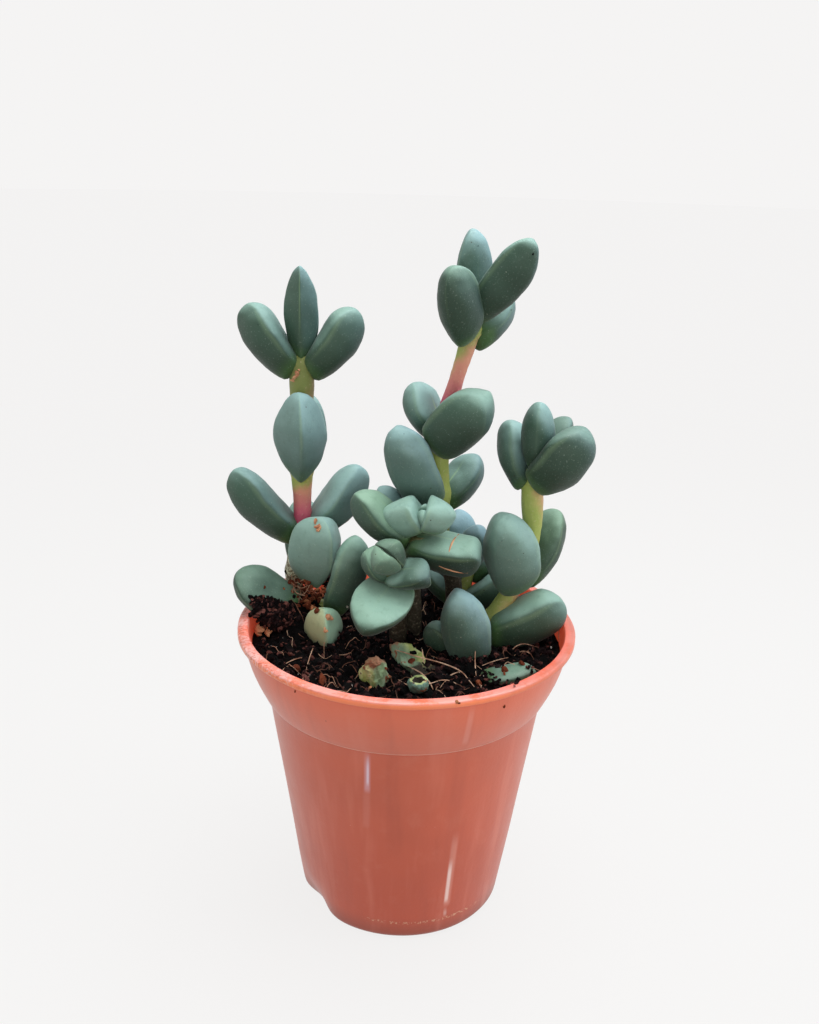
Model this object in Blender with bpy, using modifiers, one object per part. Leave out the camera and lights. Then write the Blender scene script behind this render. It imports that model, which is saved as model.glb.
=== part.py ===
# Potted ice plant: a clump of fat, keeled, blue-green leaves on short stems in a small tapered
# plastic nursery pot. Sizes are real millimetres and become metres where a mesh is made.
# +X is to the right of the front view, +Y away from the viewer, +Z up. The origin is the middle
# of the pot's underside. A leaf's azimuth is 0 towards +X and -90 towards the viewer.
import math

import bmesh
import bpy
from mathutils import Vector

MM = 0.001
CLEARANCE = 0.3  # free space kept between two pieces that touch
SCENE_NAME = "potted_ice_plant"

# Pot, driving dimensions
POT_HEIGHT = 72.0
RIM_RADIUS = 40.0
LIP_HEIGHT = 1.6
LIP_ROUNDING = 0.5
COLLAR_TOP_RADIUS = 38.3
STEP_HEIGHT = 55.8  # underside of the collar
STEP_RADIUS = 33.7
WALL_TOP_RADIUS = 32.9
BASE_RADIUS = 25.0
BASE_ROUNDING = 1.6
WALL_THICKNESS = 0.9
FLOOR_THICKNESS = 1.4
COLLAR_POINTS = 4  # rings up the curved collar
POT_SIDES = 40
DRAIN_HOLES = 5
DRAIN_DIAMETER = 5.0
DRAIN_CIRCLE_RADIUS = 15.0
DENT_AZIMUTHS = (-148.0, 32.0)  # drainage dents in the lower edge
DENT_DEPTH = 2.6
DENT_SPREAD = 13.0  # degrees
DENT_HEIGHT = 8.0

# Soil
SOIL_LEVEL = 66.4
SOIL_RINGS = 10
SOIL_SIDES = 40
SOIL_COLLAR_HEIGHTS = (62.0, 58.4)  # rings of its side above the ledge inside the pot
SOIL_SIDE_GAP = 0.8
SOIL_FOOT_INSET = 3.7  # keeps the soil off the dents
SOIL_FOOT_TOP = 11.0
MOUND_CENTRE = (-25.0, 12.0)
MOUND_HEIGHT = 3.4
MOUND_SPREAD = 9.0
POCKET_GROWTH = 0.45  # a hole in the soil is this much larger than what stands in it
HOLE_EXTRA_DEPTH = 0.6
HOLE_EXTRA_HEIGHT = 3.0
SOIL_REACH = 74.0  # what starts lower than this may touch the soil

# Leaf shape, as shares of a leaf's own length, width and thickness
LEAF_SIDES = 10
LEAF_RINGS = 9
ROOT_RINGS = 2  # rings 0 and 1 lie inside the stem
TIP_DROP = 0.45  # the tip lies this share of the thickness below the flat face
FLAT_END = 0.66  # the flat face starts to round off towards the tip here
THICKEST = 0.60
BASE_THICKNESS = 0.56
BASE_WIDTH_START = 0.06
MARGIN_DROP = 0.22  # the widest line lies this share below the flat face
KEEL_SHARPNESS = 0.35
HEEL_LENGTH = 0.32  # how far the keel runs down the stem, as a share of the thickness
ROOT_SCALE = 0.5
ROOT_SINK = 0.9

STEM_BEVEL_RESOLUTION = 2

# Colours: red, green, blue, roughness, metallic
POT_PLASTIC = (0.50, 0.115, 0.07, 0.32, 0.0)
POTTING_SOIL = (0.035, 0.018, 0.013, 0.95, 0.0)
LEAF_SKIN = (0.10, 0.22, 0.17, 0.50, 0.0)
WITHERED_SKIN = (0.27, 0.28, 0.12, 0.75, 0.0)


# One row for a leaf: azimuth and angle from upright in degrees, length, width, thickness, and
# how pointed its outline is, from 0.5, round, to 0.7, sharp
# One joint: its place, the stem's slope there in X and Y, and its leaves
# One shoot: the stem's points, each with its radius, and the joints
LEFT_SHOOT = {
    "stem": [
        (-24.5, 15, 55, 2.0),
        (-25, 14.5, 74, 2.1),
        (-25.7, 13, 88, 2.2),
        (-26, 12.5, 98, 2.2),
        (-26, 12, 105, 2.6),
        (-25.8, 11.5, 116, 2.2),
        (-25.7, 11, 128, 2.7),
        (-25.6, 11, 134, 1.8),
    ],
    "joints": [
        ((-24, 13, 79), (0, 0), [(-72, 12, 17.6, 13.2, 9.5, 0.55), (105, 30, 19, 12, 9, 0.58)]),
        ((-26.2, 13, 91), (0, 0), [(188, 38, 21, 11, 9.8, 0.56), (14, 35, 20, 11, 9.6, 0.56)]),
        ((-26, 12, 106), (0, 0), [(-88, 12, 21, 12.6, 9, 0.62), (92, 20, 18.5, 12, 9, 0.6)]),
        ((-25.7, 11, 132), (0, 0), [(181, 31, 17, 11, 9.6, 0.54), (-2, 32, 16.8, 11, 9.6, 0.54)]),
        ((-25.6, 11, 133), (0, 0), [(-90, 3, 21, 8, 4.2, 0.7), (90, 6, 19.5, 7.6, 4.2, 0.7)]),
    ],
}
CENTRE_SHOOT = {
    "stem": [
        (12, 13, 55, 2.0),
        (11.8, 12.5, 70, 2.1),
        (10.8, 9.6, 80, 2.1),
        (7.8, 7.6, 90, 2.2),
        (7, 7, 100, 2.5),
        (6.6, 6.3, 112, 2.2),
        (7, 6, 118, 2.5),
        (9.6, 5, 129, 2.0),
        (12.2, 4.2, 139, 2.3),
        (13.2, 4, 147, 1.8),
    ],
    "joints": [
        ((5.9, 7, 102.8), (0, 0), [(-140, 24, 20.5, 14, 9.6, 0.56)]),
        ((7.2, 7, 101.6), (0, 0), [(40, 42, 13.5, 10, 8.5, 0.56)]),
        ((7, 6, 118.5), (0, 0), [(150, 24, 11.5, 10.5, 8, 0.56)]),
        ((6.6, 6, 119.3), (0, 0), [(-52, 45, 17, 13.8, 10.4, 0.56)]),
        ((12.2, 4, 141.5), (0, 0), [(-118, 20, 17, 10.4, 9, 0.54)]),
        ((13.1, 4, 141), (0, 0), [(52, 44, 14.5, 10.5, 8.5, 0.56)]),
        ((12.2, 4, 147.2), (0, 0), [(-40, 37, 21, 8.4, 7.8, 0.54)]),
        ((13.6, 4, 146.5), (0, 0), [(112, 2, 16.4, 8.4, 6.4, 0.58)]),
    ],
}
RIGHT_SHOOT = {
    "stem": [
        (19, 3, 52, 2.0),
        (19, 2.6, 66, 2.2),
        (20, 2.4, 71, 2.4),
        (26.4, 4, 82, 2.5),
        (28.8, 4, 94, 2.3),
        (28.4, 3.4, 103, 2.6),
        (28, 3, 110, 1.8),
    ],
    "joints": [
        ((19.6, 2.2, 73.3), (0, 0), [(-5, 59, 17.2, 11.5, 11.2, 0.54)]),
        ((27, 4, 84), (0, 0), [(-128, 13, 18, 14.6, 10, 0.55)]),
        ((27, 4, 82.8), (0, 0), [(44, 30, 18.2, 11, 9, 0.56)]),
        ((27.6, 3, 108.6), (0, 0), [(150, 12, 12.8, 10, 7.6, 0.56)]),
        ((27.6, 3, 110.2), (0, 0), [(-32, 37, 15.2, 13.6, 10.6, 0.55)]),
        ((29, 3, 111.4), (0, 0), [(-100, 6, 15.4, 7.8, 6.8, 0.6), (53, 46, 15, 8, 7, 0.6)]),
    ],
}
FRONT_OFFSET = {
    "stem": [(15.4, -2, 54, 1.8), (15.6, -1.8, 62, 1.8), (16.4, -1.4, 66.5, 1.6)],
    "joints": [
        ((17.1, -1, 65.5), (0, 0), [(-127, 15, 20, 12, 9.5, 0.56)]),
        ((15, -1.4, 67), (0, 0), [(182, 70, 10, 8, 6.5, 0.56)]),
    ],
}
UPPER_ROSETTE = {
    "stem": [
        (2, 6, 55, 2.0),
        (1.6, 5.5, 70, 2.1),
        (0.8, 1.5, 84, 2.2),
        (1.4, -3.5, 93, 2.4),
        (3, -6, 97, 1.6),
    ],
    "joints": [
        ((1, -2, 91), (0.2, -0.3), [(130, 50, 16.6, 9, 8, 0.56)]),
        ((1.2, -4.5, 96), (0.2, -0.3), [(-14, 78, 16.2, 10.5, 10.4, 0.5), (165, 58, 16, 10, 9, 0.56)]),
        ((3.4, -6, 98.8), (0, -0.35), [(172, 35, 8.2, 9, 8.3, 0.5)]),
        ((2.4, -6, 99.6), (0, -0.35), [(-8, 16, 6.6, 8.2, 7, 0.5)]),
        ((2.9, -6.4, 97.6), (0, -0.35), [(-98, 6, 4.4, 3.2, 2, 0.56), (82, 6, 4.4, 3.2, 2, 0.56)]),
    ],
}
LOWER_ROSETTE = {
    "stem": [
        (-2, 2, 55, 2.0),
        (-2, 0, 70, 2.1),
        (-2.6, -4, 80, 2.2),
        (-3.8, -9, 88, 2.3),
        (-4.4, -11, 90.5, 1.6),
    ],
    "joints": [
        ((-3, -7, 86), (0, -0.5), [(-108, 78, 17.8, 13.6, 6.8, 0.62)]),
        ((-4.8, -9.3, 89.2), (0, -0.6), [(-28, 58, 10.6, 9.5, 6.2, 0.56)]),
        ((-2.8, -9.8, 88.6), (0, -0.6), [(158, 42, 8.2, 8.6, 6.4, 0.56)]),
        ((-4, -11, 91), (-0.1, -0.75), [(-130, 5, 8.2, 8.6, 5.2, 0.5), (50, 5, 8, 8.6, 5.8, 0.5)]),
    ],
}
BACK_SHOOT = {
    "stem": [(13.4, 18.5, 55, 2.0), (13.6, 18.5, 68, 2.1), (14.8, 18, 79, 2.1), (15.4, 18, 83, 1.6)],
    "joints": [
        ((14, 18, 72), (0, 0), [(-22, 48, 13, 9.5, 8, 0.56), (135, 50, 16, 11, 9, 0.56)]),
        ((15.2, 18, 79), (0, 0), [(40, 45, 14, 10, 9, 0.56), (196, 30, 12, 8.6, 8.2, 0.56)]),
        ((15.4, 18, 81.4), (0, 0), [(-76, 13, 11.6, 8, 6.6, 0.56), (120, 16, 12, 8.5, 7, 0.56)]),
    ],
}
SIDE_SHOOT = {
    "stem": [(-19.4, 11, 55, 1.9), (-20, 10.2, 66, 2.0), (-20, 9.4, 72, 1.7)],
    "joints": [((-20, 9, 72), (0, 0), [(-12, 15, 20, 10, 8.8, 0.56)])],
}

# Single leaves that lie on the soil or stand in it, with no stem to see
RIM_LEAF = ((-27, 3.6, 71.9), (0, -0.6), (156, 52, 16.8, 13, 7, 0.5))
SCARRED_LEAF = ((-20.8, 5, 64), (0, 0), (-80, 20, 13.5, 9.4, 8.6, 0.5))
BURIED_LEAF = ((17.8, -17.5, 67.6), (0, 0), (12, 80, 12, 7.6, 6.6, 0.5))
WITHERED_TALL = ((-6.8, -16.5, 62.5), (0, 0), (-90, 12, 8.5, 6.4, 5, 0.5))
WITHERED_FLAT = ((2.6, -11.5, 66.6), (0, 0), (165, 66, 9, 6, 4, 0.5))
WITHERED_SMALL = ((2.4, -21.5, 64.5), (0, 0), (-60, 30, 4.6, 5, 3.6, 0.5))


# Scene and materials
def clear_scene():
    for obj in list(bpy.data.objects):
        bpy.data.objects.remove(obj, do_unlink=True)


def new_collection(name):
    collection = bpy.data.collections.new(name)
    bpy.context.scene.collection.children.link(collection)
    return collection


def make_material(name, finish):
    red, green, blue, roughness, metallic = finish
    material = bpy.data.materials.new(name)
    material.use_nodes = True
    shader = material.node_tree.nodes["Principled BSDF"]
    shader.inputs["Base Color"].default_value = (red, green, blue, 1.0)
    shader.inputs["Roughness"].default_value = roughness
    shader.inputs["Metallic"].default_value = metallic
    material.diffuse_color = (red, green, blue, 1.0)
    return material


def add_object(name, mesh, collection, material=None):
    obj = bpy.data.objects.new(name, mesh)
    collection.objects.link(obj)
    if material:
        mesh.materials.clear()
        mesh.materials.append(material)
    return obj


def shade_round(mesh, angle=40.0):
    mesh.shade_smooth()
    mesh.set_sharp_from_angle(angle=math.radians(angle))


def applied_mesh(obj):
    """The object's shape with its modifiers applied, as a mesh of its own."""
    bpy.context.view_layer.update()
    graph = bpy.context.evaluated_depsgraph_get()
    return bpy.data.meshes.new_from_object(obj.evaluated_get(graph))


def apply_and_keep(obj):
    mesh = applied_mesh(obj)
    obj.modifiers.clear()
    obj.data = mesh


def turned(name, profile, sides, collection):
    """A solid of revolution about Z. The profile is (radius, height) in millimetres."""
    mesh = bpy.data.meshes.new(name)
    points = [(radius * MM, 0.0, height * MM) for radius, height in profile]
    mesh.from_pydata(points, [(i, i + 1) for i in range(len(points) - 1)], [])
    obj = add_object(name, mesh, collection)
    screw = obj.modifiers.new("turn", "SCREW")
    screw.steps = sides
    screw.render_steps = sides
    screw.use_merge_vertices = True
    screw.merge_threshold = 0.00005
    apply_and_keep(obj)
    return obj


# Pot
def collar_radius(height):
    """Outer radius of the bulging collar between the step and the underside of the lip."""
    share = (height - STEP_HEIGHT) / (POT_HEIGHT - LIP_HEIGHT - STEP_HEIGHT)
    bulge = math.sin(math.pi / 2 * min(share, 1.0))
    return STEP_RADIUS + (COLLAR_TOP_RADIUS - STEP_RADIUS) * bulge


def pot_inner_radius(height):
    """Radius of the pot's inside, which the soil fills."""
    if height > STEP_HEIGHT + WALL_THICKNESS:
        return collar_radius(height) - WALL_THICKNESS
    share = (height - BASE_ROUNDING) / (STEP_HEIGHT - BASE_ROUNDING)
    return BASE_RADIUS + (WALL_TOP_RADIUS - BASE_RADIUS) * share - WALL_THICKNESS


def pot_profile():
    lip_bottom = POT_HEIGHT - LIP_HEIGHT
    ledge_top = STEP_HEIGHT + WALL_THICKNESS
    profile = [(0.0, FLOOR_THICKNESS)]
    profile.append((pot_inner_radius(FLOOR_THICKNESS) - 1.2, FLOOR_THICKNESS))
    profile.append((pot_inner_radius(FLOOR_THICKNESS + 1.2), FLOOR_THICKNESS + 1.2))
    profile.append((pot_inner_radius(STEP_HEIGHT), ledge_top))
    for i in range(1, COLLAR_POINTS + 1):
        height = ledge_top + 0.3 + (lip_bottom - ledge_top) * (i - 1) / (COLLAR_POINTS - 1)
        profile.append((collar_radius(height) - WALL_THICKNESS, height))
    mouth_radius = COLLAR_TOP_RADIUS - WALL_THICKNESS
    profile.append((mouth_radius + LIP_ROUNDING, POT_HEIGHT))
    profile.append((RIM_RADIUS - LIP_ROUNDING, POT_HEIGHT))
    profile.append((RIM_RADIUS, POT_HEIGHT - LIP_ROUNDING))
    profile.append((RIM_RADIUS, lip_bottom + LIP_ROUNDING))
    profile.append((RIM_RADIUS - LIP_ROUNDING, lip_bottom))
    for i in range(COLLAR_POINTS + 1):
        height = lip_bottom + (STEP_HEIGHT - lip_bottom) * i / COLLAR_POINTS
        profile.append((collar_radius(height), height))
    profile.append((WALL_TOP_RADIUS, STEP_HEIGHT))
    profile.append((BASE_RADIUS, BASE_ROUNDING))
    profile.append((BASE_RADIUS - 0.3 * BASE_ROUNDING, 0.3 * BASE_ROUNDING))
    profile.append((BASE_RADIUS - BASE_ROUNDING, 0.0))
    profile.append((0.0, 0.0))
    return profile


def press_dents(mesh):
    """Pushes the wall in at the drainage dents of the lower edge, inside and outside alike."""
    for vertex in mesh.vertices:
        radius = math.hypot(vertex.co.x, vertex.co.y) / MM
        height = vertex.co.z / MM
        if radius < BASE_RADIUS * 0.6 or height > DENT_HEIGHT:
            continue
        azimuth = math.degrees(math.atan2(vertex.co.y, vertex.co.x))
        depth = 0.0
        for centre in DENT_AZIMUTHS:
            turn = (azimuth - centre + 180.0) % 360.0 - 180.0
            depth += DENT_DEPTH * math.exp(-((turn / DENT_SPREAD) ** 2))
        depth *= 1.0 - height / DENT_HEIGHT
        vertex.co.x *= 1.0 - depth / radius
        vertex.co.y *= 1.0 - depth / radius


def add_lower_ring(profile):
    """The wall gets one more ring where the dents fade out, on both of its sides."""
    rings = []
    for before, after in zip(profile, profile[1:]):
        rings.append(before)
        low, high = sorted((before[1], after[1]))
        if low < DENT_HEIGHT < high:
            share = (DENT_HEIGHT - before[1]) / (after[1] - before[1])
            rings.append((before[0] + (after[0] - before[0]) * share, DENT_HEIGHT))
    rings.append(profile[-1])
    return rings


def make_pot(collection, cutters):
    pot = turned("pot", add_lower_ring(pot_profile()), POT_SIDES, collection)
    press_dents(pot.data)
    drill = bpy.data.meshes.new("drain_drill")
    bm = bmesh.new()
    bmesh.ops.create_cone(
        bm,
        cap_ends=True,
        segments=12,
        radius1=DRAIN_DIAMETER / 2 * MM,
        radius2=DRAIN_DIAMETER / 2 * MM,
        depth=4 * FLOOR_THICKNESS * MM,
    )
    bm.to_mesh(drill)
    bm.free()
    for i in range(DRAIN_HOLES):
        angle = 2 * math.pi * i / DRAIN_HOLES + math.radians(18)
        cutter = add_object(f"drain_cutter_{i + 1}", drill, cutters)
        cutter.location = (
            DRAIN_CIRCLE_RADIUS * math.cos(angle) * MM,
            DRAIN_CIRCLE_RADIUS * math.sin(angle) * MM,
            0.0,
        )
        hide_helper(cutter)
    boolean = pot.modifiers.new("drain_holes", "BOOLEAN")
    boolean.operand_type = "COLLECTION"
    boolean.collection = cutters
    boolean.operation = "DIFFERENCE"
    pot.data.materials.append(make_material("pot_plastic", POT_PLASTIC))
    shade_round(pot.data)
    return pot


def hide_helper(obj):
    obj.hide_render = True
    obj.display_type = "WIRE"


# Leaves and stems
def leaf_section(share, length, width, thickness, pointed):
    """Half width, and the heights of flat face, widest line and keel, at a share of the length."""
    start = BASE_WIDTH_START + (1 - BASE_WIDTH_START) * share
    half_width = width / 2 * max(0.0, 4 * start * (1 - start)) ** pointed
    flat = 0.0
    if share > FLAT_END:
        fall = (share - FLAT_END) / (1 - FLAT_END)
        flat = -TIP_DROP * thickness * (1 - math.sqrt(max(0.0, 1 - fall**2)))
    if share < THICKEST:
        swell = math.sin(math.pi / 2 * share / THICKEST)
        keel = -thickness * (BASE_THICKNESS + (1 - BASE_THICKNESS) * swell)
    else:
        fall = (share - THICKEST) / (1 - THICKEST)
        round_off = math.sqrt(max(0.0, 1 - fall**2))
        keel = -thickness * (TIP_DROP + (1 - TIP_DROP) * round_off)
    return half_width, flat, flat - MARGIN_DROP * (flat - keel), keel


def leaf_frame(slope, azimuth, splay):
    """Unit vectors along the leaf, across it, and out of its flat inner face."""
    stem = Vector((slope[0], slope[1], 1.0)).normalized()
    angle = math.radians(azimuth)
    outward = Vector((math.cos(angle), math.sin(angle), 0.0))
    outward = (outward - stem * outward.dot(stem)).normalized()
    lean = math.radians(splay)
    along = math.cos(lean) * stem + math.sin(lean) * outward
    inner = math.sin(lean) * stem - math.cos(lean) * outward
    return along, inner.cross(along), inner


def leaf_mesh(name, place, slope, leaf, growth=0.0):
    """A UV sphere whose rings become the leaf's cross-sections, from a root inside the stem."""
    azimuth, splay, length, width, thickness, pointed = leaf
    along, across, inner = leaf_frame(slope, azimuth, splay)
    origin = Vector(place)
    base_depth = BASE_THICKNESS * thickness

    def spread(share, angle):
        outwards = across * math.cos(angle) + inner * math.sin(angle) + along * (2 * share - 1)
        return outwards * growth

    def surface(share, angle):
        half_width, flat, middle, keel = leaf_section(share, length, width, thickness, pointed)
        side = math.cos(angle)
        rise = math.sin(angle)
        if rise >= 0:
            height = middle + (flat - middle) * rise
        else:
            ridge = KEEL_SHARPNESS * (1 - abs(side)) + (1 - KEEL_SHARPNESS) * abs(rise)
            height = middle - (middle - keel) * ridge
        heel = HEEL_LENGTH * thickness * (1 - share) ** 2 * min(1.6, max(0.0, -height / base_depth))
        return origin + along * (share * length - heel) + across * half_width * side + inner * height

    base_ring = [surface(0.0, 2 * math.pi * i / LEAF_SIDES) for i in range(LEAF_SIDES)]
    base_centre = sum(base_ring, Vector()) / LEAF_SIDES
    root = base_centre - along * ROOT_SINK
    bm = bmesh.new()
    bmesh.ops.create_uvsphere(bm, u_segments=LEAF_SIDES, v_segments=LEAF_RINGS, radius=1.0)
    for vertex in bm.verts:
        angle = math.atan2(vertex.co.y, vertex.co.x)
        ring = round(math.acos(max(-1.0, min(1.0, -vertex.co.z))) / math.pi * LEAF_RINGS)
        if ring == 0:
            point = root - along * growth * 2
        elif ring < ROOT_RINGS:
            point = root + (surface(0.0, angle) - base_centre) * ROOT_SCALE
            point += spread(0.0, angle) - along * growth
        elif ring < LEAF_RINGS:
            share = math.sin(math.pi / 2 * (ring - ROOT_RINGS) / (LEAF_RINGS - ROOT_RINGS))
            point = surface(share, angle) + spread(share, angle)
        else:
            point = surface(1.0, 0.0) + along * growth
        vertex.co = point * MM
    bmesh.ops.recalc_face_normals(bm, faces=bm.faces)
    mesh = bpy.data.meshes.new(name)
    bm.to_mesh(mesh)
    bm.free()
    return mesh


def stem_mesh(name, points, growth=0.0):
    """A round stem through the given points, as a bevelled curve with closed ends."""
    curve = bpy.data.curves.new(name, "CURVE")
    curve.dimensions = "3D"
    curve.bevel_depth = MM
    curve.bevel_resolution = STEM_BEVEL_RESOLUTION
    curve.use_fill_caps = True
    spline = curve.splines.new("POLY")
    spline.points.add(len(points) - 1)
    for point, (x, y, z, radius) in zip(spline.points, points):
        point.co = (x * MM, y * MM, z * MM, 1.0)
        point.radius = radius + growth
    guide = bpy.data.objects.new(name, curve)
    bpy.context.scene.collection.objects.link(guide)
    mesh = applied_mesh(guide)
    bpy.data.objects.remove(guide, do_unlink=True)
    bm = bmesh.new()
    bm.from_mesh(mesh)
    bmesh.ops.remove_doubles(bm, verts=bm.verts, dist=0.00001)
    bmesh.ops.recalc_face_normals(bm, faces=bm.faces)
    bm.to_mesh(mesh)
    bm.free()
    mesh.name = name
    return mesh


def make_shoot(name, shoot, collection, material):
    """One leafy stem: every leaf is fused to it by one Boolean union."""
    leaves = new_collection(f"{name}_leaves")
    count = 0
    for place, slope, joint_leaves in shoot["joints"]:
        for leaf in joint_leaves:
            count += 1
            leaf_name = f"{name}_leaf_{count}"
            add_object(leaf_name, leaf_mesh(leaf_name, place, slope, leaf), leaves)
    obj = add_object(name, stem_mesh(name, shoot["stem"]), collection)
    union = obj.modifiers.new("leaves", "BOOLEAN")
    union.operation = "UNION"
    union.operand_type = "COLLECTION"
    union.collection = leaves
    apply_and_keep(obj)
    for leaf in list(leaves.objects):
        bpy.data.objects.remove(leaf, do_unlink=True)
    bpy.data.collections.remove(leaves)
    obj.data.materials.clear()
    obj.data.materials.append(material)
    shade_round(obj.data)
    return obj


def make_single_leaf(name, row, collection, material):
    place, slope, leaf = row
    obj = add_object(name, leaf_mesh(name, place, slope, leaf), collection, material)
    shade_round(obj.data)
    return obj


# Soil
def soil_height(x, y):
    """Crumbled top surface: three crossing ripples and a mound at the left back."""
    ripple = 0.7 * math.sin(0.50 * x + 1.0) * math.cos(0.55 * y)
    ripple += 0.45 * math.sin(1.15 * x + 0.70 * y)
    ripple += 0.35 * math.cos(1.60 * y - 0.90 * x)
    reach = math.hypot(x - MOUND_CENTRE[0], y - MOUND_CENTRE[1]) / MOUND_SPREAD
    return SOIL_LEVEL + ripple + MOUND_HEIGHT * math.exp(-(reach**2))


def make_soil(collection, pockets):
    edge = pot_inner_radius(SOIL_LEVEL) - SOIL_SIDE_GAP
    ledge = STEP_HEIGHT + WALL_THICKNESS
    foot = FLOOR_THICKNESS + CLEARANCE
    profile = [(edge * i / SOIL_RINGS, SOIL_LEVEL) for i in range(SOIL_RINGS + 1)]
    for height in SOIL_COLLAR_HEIGHTS:
        profile.append((pot_inner_radius(height) - SOIL_SIDE_GAP, height))
    profile.append((pot_inner_radius(STEP_HEIGHT) - SOIL_SIDE_GAP, ledge + 2 * CLEARANCE))
    profile.append((pot_inner_radius(SOIL_FOOT_TOP) - SOIL_SIDE_GAP, SOIL_FOOT_TOP))
    profile.append((pot_inner_radius(foot) - SOIL_FOOT_INSET, foot))
    profile.append((0.0, foot))
    soil = turned("soil", profile, SOIL_SIDES, collection)
    for vertex in soil.data.vertices:
        if vertex.co.z > (SOIL_LEVEL - 1.0) * MM:
            x, y = vertex.co.x / MM, vertex.co.y / MM
            height = soil_height(x, y)
            limit = pot_inner_radius(height) - SOIL_SIDE_GAP
            radius = math.hypot(x, y)
            if radius > limit:
                vertex.co.x *= limit / radius
                vertex.co.y *= limit / radius
            vertex.co.z = height * MM
    boolean = soil.modifiers.new("pockets", "BOOLEAN")
    boolean.operation = "DIFFERENCE"
    boolean.operand_type = "COLLECTION"
    boolean.collection = pockets
    soil.data.materials.append(make_material("potting_soil", POTTING_SOIL))
    shade_round(soil.data)
    return soil


def make_pockets(shoots, single_leaves, pockets):
    """Slightly larger copies of all that stands or lies in the soil, which cut its holes."""
    for name, shoot in shoots:
        x, y, z, radius = shoot["stem"][0]
        points = [(x, y, z - HOLE_EXTRA_DEPTH, radius)] + shoot["stem"][1:]
        x, y, z, radius = shoot["stem"][-1]
        points.append((x, y, z + HOLE_EXTRA_HEIGHT, radius))
        mesh = stem_mesh(f"{name}_hole", points, POCKET_GROWTH)
        hide_helper(add_object(f"{name}_hole", mesh, pockets))
        for place, slope, joint_leaves in shoot["joints"]:
            if place[2] > SOIL_REACH:
                continue
            for i, leaf in enumerate(joint_leaves):
                hole = f"{name}_leaf_hole_{place[2]:.0f}_{i + 1}"
                mesh = leaf_mesh(hole, place, slope, leaf, POCKET_GROWTH)
                hide_helper(add_object(hole, mesh, pockets))
    for name, (place, slope, leaf) in single_leaves:
        mesh = leaf_mesh(f"{name}_hole", place, slope, leaf, POCKET_GROWTH)
        hide_helper(add_object(f"{name}_hole", mesh, pockets))


def main():
    clear_scene()
    plant = new_collection(SCENE_NAME)
    drains = new_collection("drain_cutters")
    pockets = new_collection("soil_pockets")
    skin = make_material("leaf_skin", LEAF_SKIN)
    withered = make_material("withered_skin", WITHERED_SKIN)
    shoots = [
        ("left_shoot", LEFT_SHOOT),
        ("centre_shoot", CENTRE_SHOOT),
        ("right_shoot", RIGHT_SHOOT),
        ("front_offset", FRONT_OFFSET),
        ("upper_rosette", UPPER_ROSETTE),
        ("lower_rosette", LOWER_ROSETTE),
        ("back_shoot", BACK_SHOOT),
        ("side_shoot", SIDE_SHOOT),
    ]
    green_leaves = [
        ("rim_leaf", RIM_LEAF),
        ("scarred_leaf", SCARRED_LEAF),
        ("buried_leaf", BURIED_LEAF),
    ]
    withered_leaves = [
        ("withered_leaf_tall", WITHERED_TALL),
        ("withered_leaf_flat", WITHERED_FLAT),
        ("withered_leaf_small", WITHERED_SMALL),
    ]
    make_pot(plant, drains)
    make_pockets(shoots, green_leaves + withered_leaves, pockets)
    make_soil(plant, pockets)
    for name, shoot in shoots:
        make_shoot(name, shoot, plant, skin)
    for name, row in green_leaves:
        make_single_leaf(name, row, plant, skin)
    for name, row in withered_leaves:
        make_single_leaf(name, row, plant, withered)


main()
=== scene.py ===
import math

import bmesh
import bpy
import numpy as np
from mathutils import Euler, Matrix, Vector, noise
from mathutils.bvhtree import BVHTree


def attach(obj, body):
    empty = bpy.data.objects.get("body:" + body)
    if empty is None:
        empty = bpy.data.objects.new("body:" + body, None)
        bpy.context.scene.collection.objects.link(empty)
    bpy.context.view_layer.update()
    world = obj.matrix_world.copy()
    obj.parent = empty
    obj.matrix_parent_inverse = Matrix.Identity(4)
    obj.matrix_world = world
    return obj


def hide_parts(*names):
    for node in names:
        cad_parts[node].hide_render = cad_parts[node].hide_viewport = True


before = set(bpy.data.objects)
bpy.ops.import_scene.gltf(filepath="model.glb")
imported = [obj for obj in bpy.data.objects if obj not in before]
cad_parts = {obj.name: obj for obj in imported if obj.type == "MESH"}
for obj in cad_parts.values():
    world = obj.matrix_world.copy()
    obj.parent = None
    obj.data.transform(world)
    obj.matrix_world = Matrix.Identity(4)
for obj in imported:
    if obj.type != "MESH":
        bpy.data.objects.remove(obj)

mm = 0.001
dice = np.random.default_rng(11)
noiseShifts = (Vector((13.7, 0, 0)), Vector((0, 71.3, 0)), Vector((0, 0, 37.1)))


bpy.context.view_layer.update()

# camera, at the photo's place. Lengths here are in millimetres

view = {
    "eye": (0.0, -236.6, 183.3),
    "aim": (0.0, 0.0, 99.5),
    "roll": 1.5,
    "picture": (819, 1024),
    "focal": 1089.0,  # in pixels of the picture
    "sensor": 36,
    "clip": (0.01, 20),
}


def viewAxes():
    ahead = (Vector(view["aim"]) - Vector(view["eye"])).normalized()
    level = ahead.cross(Vector((0, 0, 1))).normalized()
    upright = level.cross(ahead)
    turn = math.radians(view["roll"])
    across = level * math.cos(turn) + upright * math.sin(turn)
    over = upright * math.cos(turn) - level * math.sin(turn)
    return ahead, across, over


def pixelRay(column, row):
    ahead, across, over = viewAxes()
    right = (column - view["picture"][0] / 2) / view["focal"]
    down = (row - view["picture"][1] / 2) / view["focal"]
    return (ahead + across * right - over * down).normalized()


def setCamera():
    ahead, across, over = viewAxes()
    lens = bpy.data.cameras.new("photoCamera")
    lens.sensor_width = view["sensor"]
    lens.lens = view["focal"] * view["sensor"] / view["picture"][1]
    lens.clip_start, lens.clip_end = view["clip"]
    camera = bpy.data.objects.new("photoCamera", lens)
    bpy.context.scene.collection.objects.link(camera)
    turned = Matrix((across, over, -ahead)).transposed().to_4x4()
    camera.matrix_world = Matrix.Translation(Vector(view["eye"]) * mm) @ turned
    bpy.context.scene.camera = camera


setCamera()
print("camera set")


# small helpers for modelling


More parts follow.
